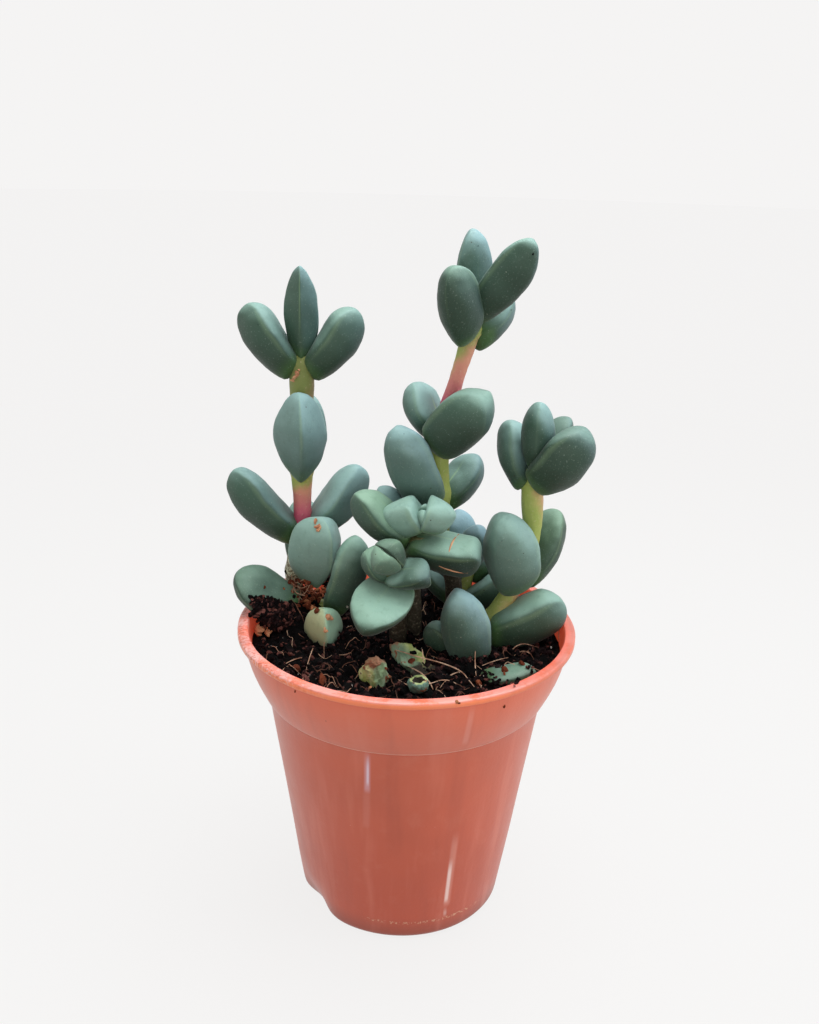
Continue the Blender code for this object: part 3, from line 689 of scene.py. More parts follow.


# A shoot's stem is rows of x, y, height and radius. Its tints are rows of height, redness,
# dryness and depth of shade. A joint is its place, the stem's slope there, and its leaves.
# A leaf is azimuth, splay, length, width, thickness, outline and look, and for some of them
# how far the keel is off the middle and how much painted shade darkens its foot, or below 0 how much
# painted light brightens it

shoots = {
    "leftShoot": {
        "node": "left_shoot",
        "stem": [
            (-27, 15, 55, 2.0), (-28.3, 14.5, 74, 2.1), (-28.2, 14, 80, 2.1),
            (-26.2, 13, 90, 2.2), (-26, 12.5, 98, 2.2), (-26, 12, 105, 2.6),
            (-25.8, 11.5, 116, 2.45), (-25.7, 11, 128, 2.9), (-25.6, 11, 134, 1.8),
        ],
        "tints": [
            (55, 0, 1, 0.6), (70, 0, 1, 0.2), (84, 0, 0.9, 0), (87, 0.9, 0.2, 0),
            (93, 1.0, 0, 0), (99, 0.75, 0, 0), (103, 0.15, 0, 0), (108, 0, 0, 0),
            (117, 0.26, 0, 0.2), (122, 0.28, 0, 0.36), (126, 0.2, 0, 0.48),
            (130, 0.05, 0, 0.52),
        ],
        "joints": [
            ((-24, 13, 79), (0, 0), [
                (-71, 12, 17.6, 13.4, 9.5, 0.44, "ashen", 0.17),
                (105, 30, 19, 12, 9, 0.58, "deep"),
            ]),
            ((-26.2, 13, 91), (0, 0), [
                (188, 38, 21, 11, 9.8, 0.56, "dark"),
                (14, 35, 20, 11, 9.6, 0.56, "grey", -0.05),
            ]),
            ((-26, 12, 106), (0, 0), [
                (-88, 12, 21, 12.6, 9, 0.62, "grey", 0.05),
                (92, 20, 18.5, 12, 9, 0.6, "dark"),
            ]),
            ((-25.7, 11, 132), (0, 0), [
                (181, 31, 17, 11, 9.6, 0.54, "deep"),
                (-2, 32, 16.8, 11, 9.6, 0.54, "deep"),
            ]),
            ((-25.6, 11, 133), (0, 0), [
                (-90, 3, 21, 8, 4.2, 0.7, "ridged"),
                (90, 6, 19.5, 7.6, 4.2, 0.7, "dark"),
            ]),
        ],
    },
    "centreShoot": {
        "node": "centre_shoot",
        "stem": [
            (12, 13, 55, 2.0), (11.8, 12.5, 70, 2.1), (10.8, 9.6, 80, 2.1), (7.8, 7.6, 90, 2.2),
            (7, 7, 100, 2.5), (6.6, 6.3, 112, 2.2), (7, 6, 118, 2.5), (9.6, 5, 129, 1.75),
            (12.2, 4.2, 139, 2.0), (13.2, 4, 147, 1.8),
        ],
        "tints": [
            (55, 0, 1, 1), (88, 0, 0.6, 0.9), (96, 0, 0, 0.3), (104, 0, 0, 0), (118, 0.1, 0, 0),
            (124, 1.0, 0, 0), (128, 0.8, 0, 0), (134, 0.6, 0, 0), (138, 0.25, 0, 0.2),
            (141, 0.05, 0, 0.36), (144, 0, 0, 0.42),
        ],
        "joints": [
            ((5.9, 7, 102.8), (0, 0), [(-140, 24, 20.5, 14, 9.6, 0.56, "silver")]),
            ((7.2, 7, 101.6), (0, 0), [(40, 42, 13.5, 10, 8.5, 0.56, "ribbed")]),
            ((7, 6, 118.5), (0, 0), [(150, 24, 11.5, 10.5, 8, 0.56, "glazed")]),
            ((6.4, 6, 119.3), (0, 0), [(-54, 42, 16.8, 15.2, 10.8, 0.46, "stout")]),
            ((12.2, 4, 141.5), (0, 0), [(-118, 20, 17, 10.4, 9, 0.54, "shade")]),
            ((13.1, 4, 141), (0, 0), [(52, 44, 14.5, 10.5, 8.5, 0.56, "dark")]),
            ((12.2, 4, 147.2), (0, 0), [(-40, 37, 21, 9.4, 8.6, 0.50, "deep")]),
            ((13.6, 4, 146.5), (0, 0), [(112, 2, 16.4, 8.4, 6.4, 0.58, "dusty")]),
        ],
    },
    "rightShoot": {
        "node": "right_shoot",
        "stem": [
            (19, 3, 52, 2.0), (19, 2.6, 66, 2.2), (20, 2.4, 71, 2.4), (26.4, 4, 82, 2.5),
            (28.8, 4, 94, 2.3), (28.4, 3.4, 103, 2.6), (28, 3, 110, 1.8),
        ],
        "tints": [
            (52, 0, 1, 1), (66, 0, 0.8, 0.7), (74, 0.3, 0.3, 0.3), (82, 0.35, 0, 0),
            (92, 0, 0, 0), (100, 0.18, 0, 0), (106, 0.22, 0, 0), (110, 0, 0, 0),
        ],
        "joints": [
            ((19.6, 2.2, 73.3), (0, 0), [(-5, 59, 17.4, 11.5, 12.2, 0.50, "stout")]),
            ((27, 4, 84), (0, 0), [(-128, 13, 18, 14.6, 10, 0.55, "frosted")]),
            ((27, 4, 82.8), (0, 0), [(44, 30, 18.2, 11, 9, 0.56, "fern")]),
            ((28.2, 2.8, 106.6), (0, 0), [(150, 13, 14.8, 10, 7.6, 0.56, "misty")]),
            ((27.4, 3, 109.9), (0, 0), [(-33, 34, 16.2, 15.0, 11.0, 0.48, "shadiest")]),
            ((29, 3, 111.4), (0, 0), [
                (-100, 6, 15.4, 7.8, 6.8, 0.6, "dark"),
                (53, 46, 15, 8, 7, 0.6, "shadiest"),
            ]),
        ],
    },
    "frontOffset": {
        "node": "front_offset",
        "stem": [(15.4, -2, 54, 1.8), (15.6, -1.8, 62, 1.8), (16.4, -1.4, 66.5, 1.6)],
        "tints": [(54, 0, 1, 1), (64, 0, 0.8, 0.8)],
        "joints": [
            ((17.1, -1, 65.5), (0, 0), [(-127, 15, 20, 12.4, 9.8, 0.54, "dusty")]),
            ((15, -1.4, 67.4), (0, 0), [(184, 52, 10.8, 8.4, 7, 0.56, "shadiest")]),
        ],
    },
    "upperRosette": {
        "node": "upper_rosette",
        "stem": [
            (2, 6, 55, 2.0), (1.6, 5.5, 70, 2.1), (0.8, 1.5, 84, 2.2), (1.4, -3.5, 93, 2.3),
            (2.4, -5.2, 95.6, 1.4),
        ],
        "tints": [(55, 0, 1, 1), (80, 0, 0.6, 0.9), (92, 0, 0, 0.85)],
        "joints": [
            ((1, -2, 91), (0.2, -0.3), [(130, 50, 16.6, 9, 8, 0.56, "grey")]),
            ((1.2, -4.5, 96), (0.2, -0.3), [
                (-14, 78, 16.0, 10.5, 10.4, 0.32, "boxy"),
                (165, 58, 16, 10, 9, 0.56, "mossy"),
            ]),
            ((4.2, -6, 99.0), (0, -0.35), [(172, 30, 7.8, 7.8, 10.8, 0.34, "bulb")]),
            ((2.5, -6, 99.1), (0, -0.35), [(-8, 14, 7.2, 7.8, 7.2, 0.34, "bulb")]),
            ((3.4, -7.0, 99.2), (0, -0.35), [
                (-98, 8, 5.0, 3.6, 2.4, 0.5, "bulb"),
                (82, 6, 4.6, 3.6, 2.2, 0.5, "bulb"),
            ]),
        ],
    },
    "lowerRosette": {
        "node": "lower_rosette",
        "stem": [
            (-2, 2, 55, 2.0), (-2, 0, 70, 2.1), (-2.6, -4, 80, 2.2), (-3.8, -9, 88, 2.3),
            (-4.4, -11, 90.5, 1.6),
        ],
        "tints": [(55, 0, 1, 1), (78, 0, 0.6, 0.9), (88, 0, 0, 0.8)],
        "joints": [
            ((-3, -7, 86), (0, -0.5), [(-109, 77, 17.6, 13.6, 7.0, 0.54, "mint", 0.0, -0.6)]),
            ((-4.8, -9.3, 89.2), (0, -0.6), [(-28, 58, 10.6, 9.5, 6.8, 0.52, "facet", 0.0, -1.3)]),
            ((-2.8, -9.8, 88.4), (0, -0.6), [(158, 37, 7.9, 8.2, 6.2, 0.50, "mossy")]),
            ((-4.2, -9.6, 91.2), (-0.1, -1.3), [
                (-118, -2, 7.6, 7.9, 4.8, 0.42, "ball"),
                (62, -3, 7.8, 7.9, 4.6, 0.42, "ballTop"),
            ]),
        ],
    },
    "backShoot": {
        "node": "back_shoot",
        "stem": [
            (13.4, 18.5, 55, 2.0), (13.6, 18.5, 68, 2.1), (14.8, 18, 79, 2.1),
            (15.4, 18, 83, 1.6),
        ],
        "tints": [(55, 0, 1, 0.8), (74, 0, 0.4, 0.3)],
        "joints": [
            ((14, 18, 72), (0, 0), [
                (-22, 48, 13, 9.5, 8, 0.56, "dark"),
                (135, 50, 16, 11, 9, 0.56, "dark"),
            ]),
            ((15.2, 18, 79), (0, 0), [
                (40, 45, 14, 10, 9, 0.56, "blue"),
                (196, 30, 12, 8.6, 8.2, 0.56, "blue"),
            ]),
            ((15.4, 18, 81.4), (0, 0), [
                (-76, 13, 11.6, 8, 6.6, 0.56, "blue"),
                (120, 16, 12, 8.5, 7, 0.56, "blue"),
            ]),
        ],
    },
    "sideShoot": {
        "node": "side_shoot",
        "stem": [(-19.4, 11, 55, 1.9), (-20, 10.2, 66, 2.0), (-20.4, 9.4, 72, 1.7)],
        "tints": [(55, 0, 1, 0.8), (70, 0, 0.4, 0.3)],
        "joints": [((-20.6, 9, 72), (0, 0), [(-13, 14, 20, 11.4, 8.8, 0.50, "clear")])],
    },
}

grownPieces = []
# each part of a shoot gets all of these, so that joining the parts loses none
skinLayers = [
    "leafShare", "leafSide", "leafFace", "leafPale", "leafBlue", "leafLine", "leafOld",
    "stemRed", "stemDry", "stemDeep",
]


def growShoot(name, shoot):
    joints = shoot["joints"]
    collars = [place[2] - 0.5 for place, slope, leaves in joints]
    pieces = [modelStem(name + "Stem", shoot["stem"], collars, shoot["tints"])]
    for place, slope, leaves in joints:
        for leaf in leaves:
            leafName = f"{name}Leaf{len(pieces)}"
            shift, fade = (*leaf[7:], 0.0, 0.0)[:2]
            pieces.append(setLeaf(leafName, place, slope, leaf[:6], leaf[6], keelShift=shift, fade=fade))
    for piece in pieces:
        for layer in skinLayers:
            if layer not in piece.data.attributes:
                paintNumber(piece.data, layer, np.zeros(len(piece.data.vertices)))
    grown = joinAs(name, pieces)
    enlist(grown, shoot["node"])
    grownPieces.append(grown)


for shootName, shootRow in shoots.items():
    growShoot(shootName, shootRow)
print("shoots grown")

# node, place, slope and sizes of a leaf that stands by itself, its look, and what else it has
singleLeaves = {
    "rimLeaf": (
        "rim_leaf", (-27, 3.6, 71.9), (0, -0.6), (156, 52, 16.8, 13, 7, 0.5), "sunken", {},
    ),
    # its fade paints shade on its lower part
    "scarredLeaf": (
        "scarred_leaf", (-20.8, 5, 64), (0, 0), (-80, 20, 13.5, 9.4, 8.6, 0.5), "pearl",
        {"keelShift": 0.05, "old": (0.9, 0.2), "fade": 1.7},
    ),
    "buriedLeaf": (
        "buried_leaf", (17.8, -17.5, 67.6), (0, 0), (12, 80, 12, 7.6, 6.6, 0.5), "sunken", {},
    ),
}
for leafName, (node, place, slope, sizes, look, extras) in singleLeaves.items():
    single = setLeaf(leafName, place, slope, sizes, look, **extras)
    single.data.name = leafName
    enlist(single, node)
    grownPieces.append(single)

# withered leaves: shrunken, creased, pale yellow-green with brown parts


def makeWitheredSkin():
    sh = Shader("witheredSkin")
    share = sh.number("leafShare")
    large = sh.grain(260, 4, 0.6)
    fine = sh.grain(1300, 4, 0.65)
    teal = sh.number("leafOld")
    colour = sh.blend(sh.rise(large, 0.35, 0.65), tone(158, 172, 92), tone(206, 214, 156))
    colour = sh.blend(teal, colour, sh.blend(large, tone(54, 86, 76), tone(120, 156, 138)))
    colour = sh.blend(sh.rise(large + (fine - 0.5) * 0.3, 0.60, 0.68), colour, tone(136, 80, 52))
    cap = sh.blend(fine, tone(86, 44, 34), tone(180, 126, 96))
    colour = sh.blend(sh.rise(share + (large - 0.5) * 0.5, 0.84, 0.93) * 0.9, colour, cap)
    colour = sh.blend(sh.rise(share + (large - 0.5) * 0.5, 0.44, 0.22), colour, tone(44, 38, 28))
    colour = sh.blend(sh.specks(520, 0.20, 0.2), colour, tone(86, 66, 62))
    return sh.finish(colour, 0.62 + fine * 0.2, fine, 0.0005, {"Specular IOR Level": 0.3})


witheredSkin = makeWitheredSkin()
# fineness and depth of the creases and of the puckers between them
wither = {"ruffle": 0.12, "creases": (0.5, 1.0), "puckers": (1.5, 0.46), "puckerShift": (9, 4, 2)}
# node, place, sizes and how blue-green its two sides are
witheredLeaves = {
    "witheredLeafTall": (
        "withered_leaf_tall", (-6.7, -17.4, 60.2), (-92, 9, 13.0, 6.6, 4.4, 0.50), (0, 0.7),
    ),
    "witheredLeafFlat": (
        "withered_leaf_flat", (5.6, -17.2, 66.4), (124, 76, 14.5, 6.4, 4.4, 0.4), (0, 0.8),
    ),
}
for leafName, (node, place, sizes, tealParts) in witheredLeaves.items():
    single = setLeaf(leafName, place, (0, 0), sizes, "withered", wither["ruffle"], old=tealParts)
    single.data.name = leafName
    dots = readDots(single.data) / mm
    creases = unevenness(dots, wither["creases"][0]) * wither["creases"][1]
    puckers = unevenness(dots, wither["puckers"][0], Vector(wither["puckerShift"]))
    writeDots(single.data, (dots + creases + puckers * wither["puckers"][1]) * mm)
    dress(single, node, witheredSkin)
    grownPieces.append(single)

# the smallest one is a dried stub with a hollow in its end
stub = {
    "at": (2.9, -24.2, 66.2),
    "sides": 20,
    # radius and height, from the foot over the edge and down into the hollow
    "rings": [
        (1.6, 0.0), (2.3, 1.2), (2.45, 2.2), (2.1, 3.0), (1.6, 3.25), (1.1, 3.0), (0.8, 2.2), (0.5, 1.6),
    ],
    "hollowRadius": 1.25, "hollowFrom": 1.0,
    "brightFrom": 2.95,
    "creases": (1.1, 0.4),
}


def modelStub():
    clearSelection()
    radius = stub["rings"][0][0]
    bpy.ops.mesh.primitive_circle_add(vertices=stub["sides"], radius=radius, location=stub["at"])
    body = bpy.context.object
    body.name = "witheredLeafSmall"
    settle(body)
    editAll()
    bpy.ops.mesh.edge_face_add()
    liftRings(stub["rings"], stub["at"])
    closeShape()
    roundOff(body)
    dots = readDots(body.data)
    away = dots - np.array(stub["at"])
    height, radius = away[:, 2], np.hypot(away[:, 0], away[:, 1])
    hollow = (radius < stub["hollowRadius"]) & (height > stub["hollowFrom"])
    paintNumber(body.data, "leafShare", np.where(hollow, 0.0, 0.4))
    paintNumber(body.data, "leafOld", np.where(height > stub["brightFrom"], 0.2, 1.0))
    wave, depth = stub["creases"]
    writeDots(body.data, (dots + unevenness(dots, wave) * depth) * mm)
    smooth(body)
    dress(body, "withered_leaf_small", witheredSkin)
    return body


grownPieces.append(modelStub())
print("single leaves set")

# pot: thin moulded plastic, turned ring by ring, with drain holes and two dents

pot = {
    "height": 72.0, "rim": 40.0, "lip": 1.6, "lipRounding": 0.5, "collarTop": 38.3,
    "step": 55.8, "stepRadius": 33.7, "wallTop": 32.9, "base": 25.0, "baseRounding": 1.6,
    "wall": 0.9, "floor": 1.4, "sides": 128,
    "holes": 5, "holeSize": 5.0, "holeCircle": 15.0, "holeTurn": 18, "holeSides": 28,
    "dents": (-148.0, 32.0), "dentDepth": 2.6, "dentSpread": 13.0, "dentHeight": 8.0,
    "bend": 0.22, "bendWave": 0.05, "bendFrom": 20,
}


def collarRadius(height):
    # outside radius of the flared collar
    top = pot["height"] - pot["lip"]
    share = min(max((height - pot["step"]) / (top - pot["step"]), 0.0), 1.0)
    return pot["stepRadius"] + (pot["collarTop"] - pot["stepRadius"]) * math.sin(math.pi / 2 * share)


def insideRadius(height):
    if height > pot["step"] + pot["wall"]:
        return collarRadius(height) - pot["wall"]
    share = (height - pot["baseRounding"]) / (pot["step"] - pot["baseRounding"])
    return pot["base"] + (pot["wallTop"] - pot["base"]) * share - pot["wall"]


def potRings():
    # outside upwards from the foot, over the lip and down the inside
    lipLow = pot["height"] - pot["lip"]
    ledge = pot["step"] + pot["wall"]
    rounding, footRounding = pot["lipRounding"], pot["baseRounding"]
    wallTop, step, stepRadius = pot["wallTop"], pot["step"], pot["stepRadius"]
    rings = []
    for turn in np.linspace(0, math.pi / 2, 5):
        radius = pot["base"] - footRounding * (1 - math.sin(turn))
        rings.append((radius, footRounding * (1 - math.cos(turn))))
    for share in np.linspace(0, 1, 13)[1:-1]:
        height = footRounding + (step - 0.5 - footRounding) * share
        rings.append((pot["base"] + (wallTop - pot["base"]) * share, height))
    rings += [(wallTop - 0.05, step - 0.45), (wallTop + 0.05, step - 0.1), (wallTop + 0.25, step)]
    rings += [(stepRadius - 0.25, step), (stepRadius - 0.05, step + 0.15)]
    for height in np.linspace(step + 0.6, lipLow - 0.15, 10):
        rings.append((collarRadius(height), height))
    rings.append((pot["collarTop"] + 0.25, lipLow))
    for turn in np.linspace(-90, 90, 9):
        angle = math.radians(turn)
        height = lipLow + rounding if turn < 0 else pot["height"] - rounding
        if turn != 0:
            radius = pot["rim"] - rounding * (1 - math.cos(angle))
            rings.append((radius, height + rounding * math.sin(angle)))
    mouth = pot["collarTop"] - pot["wall"]
    rings += [(mouth + 0.9, pot["height"]), (mouth + 0.3, pot["height"] - 0.12)]
    rings.append((mouth, pot["height"] - 0.6))
    for height in np.linspace(lipLow - 0.6, ledge + 0.5, 8):
        rings.append((insideRadius(height), height))
    rings += [(insideRadius(step) + 0.3, ledge), (insideRadius(step), ledge - 0.5)]
    for height in np.linspace(step - 4, pot["floor"] + 1.2, 9):
        rings.append((insideRadius(height), height))
    inner = insideRadius(pot["floor"])
    rings += [(inner - 0.5, pot["floor"] + 0.35), (inner - 1.2, pot["floor"])]
    return rings


def modelPot():
    rings = potRings()
    clearSelection()
    bpy.ops.mesh.primitive_circle_add(vertices=pot["sides"], radius=rings[0][0])
    body = bpy.context.object
    body.name = "potBody"
    editAll()
    liftRings(rings)
    bpy.ops.mesh.edge_face_add()  # top of the floor
    pickDots(body, lambda at: at.z < 1e-4)
    bpy.ops.mesh.edge_face_add()  # underside
    closeShape()
    drills = []
    drillSize = {"vertices": pot["holeSides"], "radius": pot["holeSize"] / 2, "depth": 8}
    for i in range(pot["holes"]):
        angle = 2 * math.pi * i / pot["holes"] + math.radians(pot["holeTurn"])
        at = (pot["holeCircle"] * math.cos(angle), pot["holeCircle"] * math.sin(angle), 0)
        bpy.ops.mesh.primitive_cylinder_add(location=at, **drillSize)
        drills.append(bpy.context.object)
    drill = joinAs("drill", drills)
    settle(drill)
    cut = body.modifiers.new("drainHoles", "BOOLEAN")
    cut.operation = "DIFFERENCE"
    cut.solver = "EXACT"
    cut.object = drill
    applyAll(body)
    bpy.data.objects.remove(drill)
    # the two dents of the lower edge, and the slight unevenness of thin plastic
    dots = readDots(body.data)
    radius = np.hypot(dots[:, 0], dots[:, 1])
    azimuth = np.degrees(np.arctan2(dots[:, 1], dots[:, 0]))
    push = np.zeros(len(dots))
    for centre in pot["dents"]:
        turn = (azimuth - centre + 180) % 360 - 180
        push += pot["dentDepth"] * np.exp(-((turn / pot["dentSpread"]) ** 2))
    push *= np.clip(1 - dots[:, 2] / pot["dentHeight"], 0, 1)
    wave = pot["bendWave"]
    bend = np.array([noise.noise(Vector((x, y, z * 0.6)) * wave) for x, y, z in dots]) * pot["bend"]
    bend *= np.clip(dots[:, 2] / pot["bendFrom"], 0, 1)
    middle = radius < pot["base"] * 0.6  # round the drain holes nothing moves
    push[middle] = bend[middle] = 0
    scale = 1 - (push + bend) / np.maximum(radius, 1)
    dots[:, 0] *= scale
    dots[:, 1] *= scale
    writeDots(body.data, dots * mm)
    smooth(body, 35)
    return body


# painted highlights, pale upright streaks on the wall: middle, lean, lowest and highest point, width,
# strength and hue
paintedWallHighlights = [
    (-7.75, 0.0, 44.5, 55.0, 0.95, 0.55, tone(226, 176, 186)),
    (-7.65, 0.0, 46.5, 54.0, 0.40, 0.85, tone(238, 214, 228)),
    (-7.9, 0.0, 34.0, 46.0, 1.2, 0.14, tone(226, 160, 150)),
    (11.05, 0.055, 10.4, 23.0, 0.62, 0.95, tone(255, 234, 226)),
    (11.2, 0.06, 9.0, 31.0, 1.1, 0.40, tone(240, 168, 150)),
    (10.95, 0.0, 5.9, 7.4, 0.55, 0.9, tone(250, 224, 214)),
    (13.2, 0.10, 58.5, 69.5, 0.9, 0.30, tone(240, 170, 156)),
]


def makePotPlastic():
    sh = Shader("potPlastic")
    x, y, z = sh.parts(sh.place)
    height = z * 1000
    toRight, toLeft = sh.rise(x, 0.012, 0.034), sh.rise(x, -0.012, -0.036)
    nx, ny = sh.parts(sh.facing)[:2]
    outward = (nx * x + ny * y) / (x * x + y * y + 1e-8) ** 0.5
    broad = sh.grain(45, 2)
    cloud = sh.grain(160, 4, 0.6)
    fine = sh.grain(1500, 3, 0.6)
    # painted shade: the wall darker towards its foot
    wall = sh.blend(sh.rise(height, 3, 52), tone(196, 84, 56), tone(206, 98, 70))
    collar = sh.blend(sh.rise(height, 56, 70.2), tone(222, 110, 80), tone(228, 116, 86))
    colour = sh.blend(sh.rise(height, 55.3, 55.9), wall, collar)
    # painted glow: the light that comes through the thin lip and the free part of the wall inside is
    # painted into the colour, lighter inside towards the left, and inside is also given a faint emission
    glow = sh.rise(height, 69.6, 70.5) * sh.rise(height, 71.9, 71.3) * sh.rise(outward, -0.1, 0.2)
    colour = sh.blend(glow, colour, sh.blend(toRight, tone(255, 138, 90), tone(226, 116, 82)))
    inside = sh.rise(outward, 0.1, -0.2) * sh.rise(height, 57, 60)
    paintedInsideLight = sh.blend(sh.rise(x, 0.0, -0.03), tone(240, 98, 66), tone(255, 136, 110))
    colour = sh.blend(inside * 0.95, colour, paintedInsideLight)
    paintedInsideGlow = sh.blend(inside, (0, 0, 0, 1), tone(255, 98, 66))
    # pale line along the step; pale dust with a painted sheen on the lip, painted shade at its right,
    # and wear at its left
    edge = sh.rise((height - 55.95).size(), 0.42, 0.15) * sh.rise(outward, -0.2, 0.2)
    colour = sh.blend(edge * (0.5 + broad * 0.7), colour, tone(250, 184, 160))
    dustAndSheen = sh.rise(height, 71.4, 71.95) * sh.rise(cloud + (fine - 0.5) * 0.4, 0.32, 0.55)
    colour = sh.blend(dustAndSheen * 0.34, colour, tone(236, 200, 202))
    # painted shade on the right part of the lip
    colour = sh.blend(sh.rise(height, 71.2, 71.8) * toRight * 0.55, colour, tone(190, 96, 76))
    leftLip = sh.rise(height, 70.2, 71.0) * toLeft
    worn = leftLip * sh.rise(fine + (cloud - 0.5) * 0.7, 0.50, 0.58)
    colour = sh.blend(worn * 0.6, colour, tone(232, 196, 190))
    colour = sh.blend(leftLip * sh.rise(fine, 0.46, 0.38) * 0.5, colour, tone(160, 60, 48))
    # clouds, painted shade that darkens the foot, and specks
    colour = sh.blend(sh.rise(cloud, 0.5, 0.8) * 0.10, colour, tone(226, 160, 140))
    colour = sh.blend(sh.rise(broad, 0.45, 0.75) * 0.14, colour, tone(140, 62, 46))
    colour = sh.blend(sh.rise(height, 7, 0) * 0.6, colour, tone(124, 52, 36))
    colour = sh.blend(sh.specks(300, 0.07, 0.08) * 0.7, colour, tone(104, 56, 40))
    colour = sh.blend(sh.specks(520, 0.05, 0.05) * 0.5, colour, tone(246, 206, 190))
    front = sh.rise(y, 0.0, -0.01)
    # painted highlights on the front of the wall
    for middle, lean, low, high, width, strength, hue in paintedWallHighlights:
        along = sh.rise(height, low - 1.0, low + 1.0) * sh.rise(height, high + 1.5, high - 4.0)
        off = x * 1000 - (height - low) * lean - middle
        beside = sh.rise(off.size(), width, width * 0.25)
        colour = sh.blend(along * beside * front * strength, colour, hue)
    # faint upright lighter and darker bands, and a row of worn dots round the foot
    angle = sh.add("ShaderNodeMath", {"operation": "ARCTAN2"}, {0: y, 1: x}) * 57.3
    around = sh.add("ShaderNodeCombineXYZ", inputs={0: angle * 0.07, 1: 0.0, 2: height * 0.02})
    flow = sh.grain(1.0, 3, 0.6, around)
    colour = sh.blend(sh.rise(flow, 0.50, 0.75) * 0.24, colour, tone(238, 146, 124))
    colour = sh.blend(sh.rise(flow, 0.48, 0.28) * 0.18, colour, tone(150, 64, 46))
    band = sh.rise((height - 4.9 + (broad - 0.5) * 1.6).size(), 0.55, 0.25)
    band = band * sh.rise(angle, -112, -104) * sh.rise(angle, -38, -46)
    dots = sh.rise(sh.grain(1300, 2, 0.7), 0.52, 0.62) * sh.rise(outward, 0.0, 0.3)
    colour = sh.blend(band * dots * 0.6, colour, tone(226, 176, 142))
    roughness = 0.24 + cloud * 0.20 + fine * 0.08
    bump = fine * 0.35 + cloud * 0.65
    fixed = {"Specular IOR Level": 0.45, "Coat Weight": 0.12, "Coat Roughness": 0.2}
    # the painted glow inside, given as emission
    fixed.update({"Emission Color": paintedInsideGlow, "Emission Strength": 0.22})
    return sh.finish(colour, roughness, bump, 0.0001, fixed)


potBody = modelPot()
dress(potBody, "pot", makePotPlastic())
print("pot modelled")

# soil: a filled body with a rough top, and loose crumbs on it

soil = {
    "level": 66.4, "sides": 200, "rings": 64, "wallGap": 0.15,
    "wallHeights": (4, 12, 24, 36, 48, 54.5, 57.5, 62), "footInset": 1.4, "footTop": 10,
    # strength and fineness of the rough top, which starts at a height in the pot
    "roughFrom": 60, "relief": [(1.2, 0.45), (1.3, 1.1)], "knobs": (0.7, 2.3), "sunk": 0.3,
    # place, height and spread of each heap
    "heaps": [
        (-25.0, 12.0, 3.4, 9.0), (-28.8, 5.6, 6.2, 5.4), (-22.6, 8.0, 1.8, 3.0),
        (-14.5, 2.0, 1.6, 3.0), (24.0, -14.0, 1.2, 4.0),
    ],
    "crumbs": 4400, "lumps": 60, "fibres": 46, "darkFibres": 130,
    "sparkles": 90, "sparkleReach": 34,
}


def soilHeight(x, y):
    # long soft ripples and the heaps
    ripple = 0.7 * math.sin(0.5 * x + 1) * math.cos(0.55 * y)
    ripple += 0.45 * math.sin(1.15 * x + 0.7 * y) + 0.35 * math.cos(1.6 * y - 0.9 * x)
    heaped = 0
    for at, back, high, wide in soil["heaps"]:
        heaped += high * math.exp(-(((x - at) ** 2 + (y - back) ** 2) / wide**2))
    return soil["level"] + ripple + heaped


def modelSoil():
    edge = insideRadius(soil["level"]) - soil["wallGap"]
    rings = [(insideRadius(pot["floor"]) - 1.6, pot["floor"] + 0.1)]
    for height in soil["wallHeights"]:
        inset = 0.0 if height > soil["footTop"] else soil["footInset"]
        rings.append((insideRadius(height) - soil["wallGap"] - inset, height))
    rings.append((edge, soil["level"]))
    for share in np.linspace(1, 0, soil["rings"] + 1)[1:-1]:
        rings.append((edge * share, soil["level"]))
    clearSelection()
    radius, low = rings[0]
    bpy.ops.mesh.primitive_circle_add(vertices=soil["sides"], radius=radius, location=(0, 0, low))
    body = bpy.context.object
    body.name = "soilBody"
    settle(body)
    editAll()
    liftRings(rings)
    bpy.ops.mesh.extrude_region_move()
    bpy.ops.mesh.merge(type="CENTER")
    pickDots(body, lambda at: at.z < low + 1e-3)
    bpy.ops.mesh.edge_face_add()
    closeShape()
    dots = readDots(body.data)
    knobs, knobWave = soil["knobs"]
    for dot in dots:
        if dot[2] > soil["roughFrom"]:
            at = Vector((dot[0], dot[1], 0.0))
            rough = sum(strength * noise.noise(at * wave) for strength, wave in soil["relief"])
            rough += knobs * abs(noise.noise(at * knobWave)) - soil["sunk"]
            share = min((dot[2] - soil["roughFrom"]) / (soil["level"] - soil["roughFrom"]), 1.0)
            dot[2] += share * (soilHeight(dot[0], dot[1]) - soil["level"] + rough)
    writeDots(body.data, dots * mm)
    smooth(body)
    return body


def makeSoilLook(name, dark, middle, warm, wet=0.5):
    # three hues from the dark gaps to the warm dry bits, and damp glints
    sh = Shader(name)
    lump = sh.grain(330, 3, 0.6)
    fine = sh.grain(1900, 4, 0.7)
    hue = sh.number("crumbHue")
    colour = sh.blend(sh.rise(lump + hue * 0.3, 0.46, 0.86), dark, middle)
    colour = sh.blend(sh.rise(hue + (fine - 0.5) * 0.6, 0.72, 1.0) * 0.85, colour, warm)
    colour = sh.blend(sh.rise(fine, 0.62, 0.78) * 0.4, colour, warm)
    colour = sh.blend(sh.rise(fine, 0.46, 0.30) * 0.7, colour, dark)
    roughness = 0.92 - wet * sh.rise(lump, 0.50, 0.70)
    return sh.finish(colour, roughness, fine, 0.0006, {"Specular IOR Level": 0.12})


soilLook = makeSoilLook("soilLook", tone(3, 2, 2), tone(14, 8, 8), tone(62, 38, 34))
crumbLook = makeSoilLook("crumbLook", tone(6, 3, 4), tone(36, 19, 20), tone(122, 76, 68))
rustLook = makeSoilLook("rustLook", tone(96, 46, 30), tone(150, 82, 54), tone(204, 138, 96), 0.2)
paleLook = makeSoilLook("paleLook", tone(190, 184, 172), tone(226, 222, 212), tone(244, 240, 232), 0.2)
soilBody = modelSoil()
dress(soilBody, "soil", soilLook)

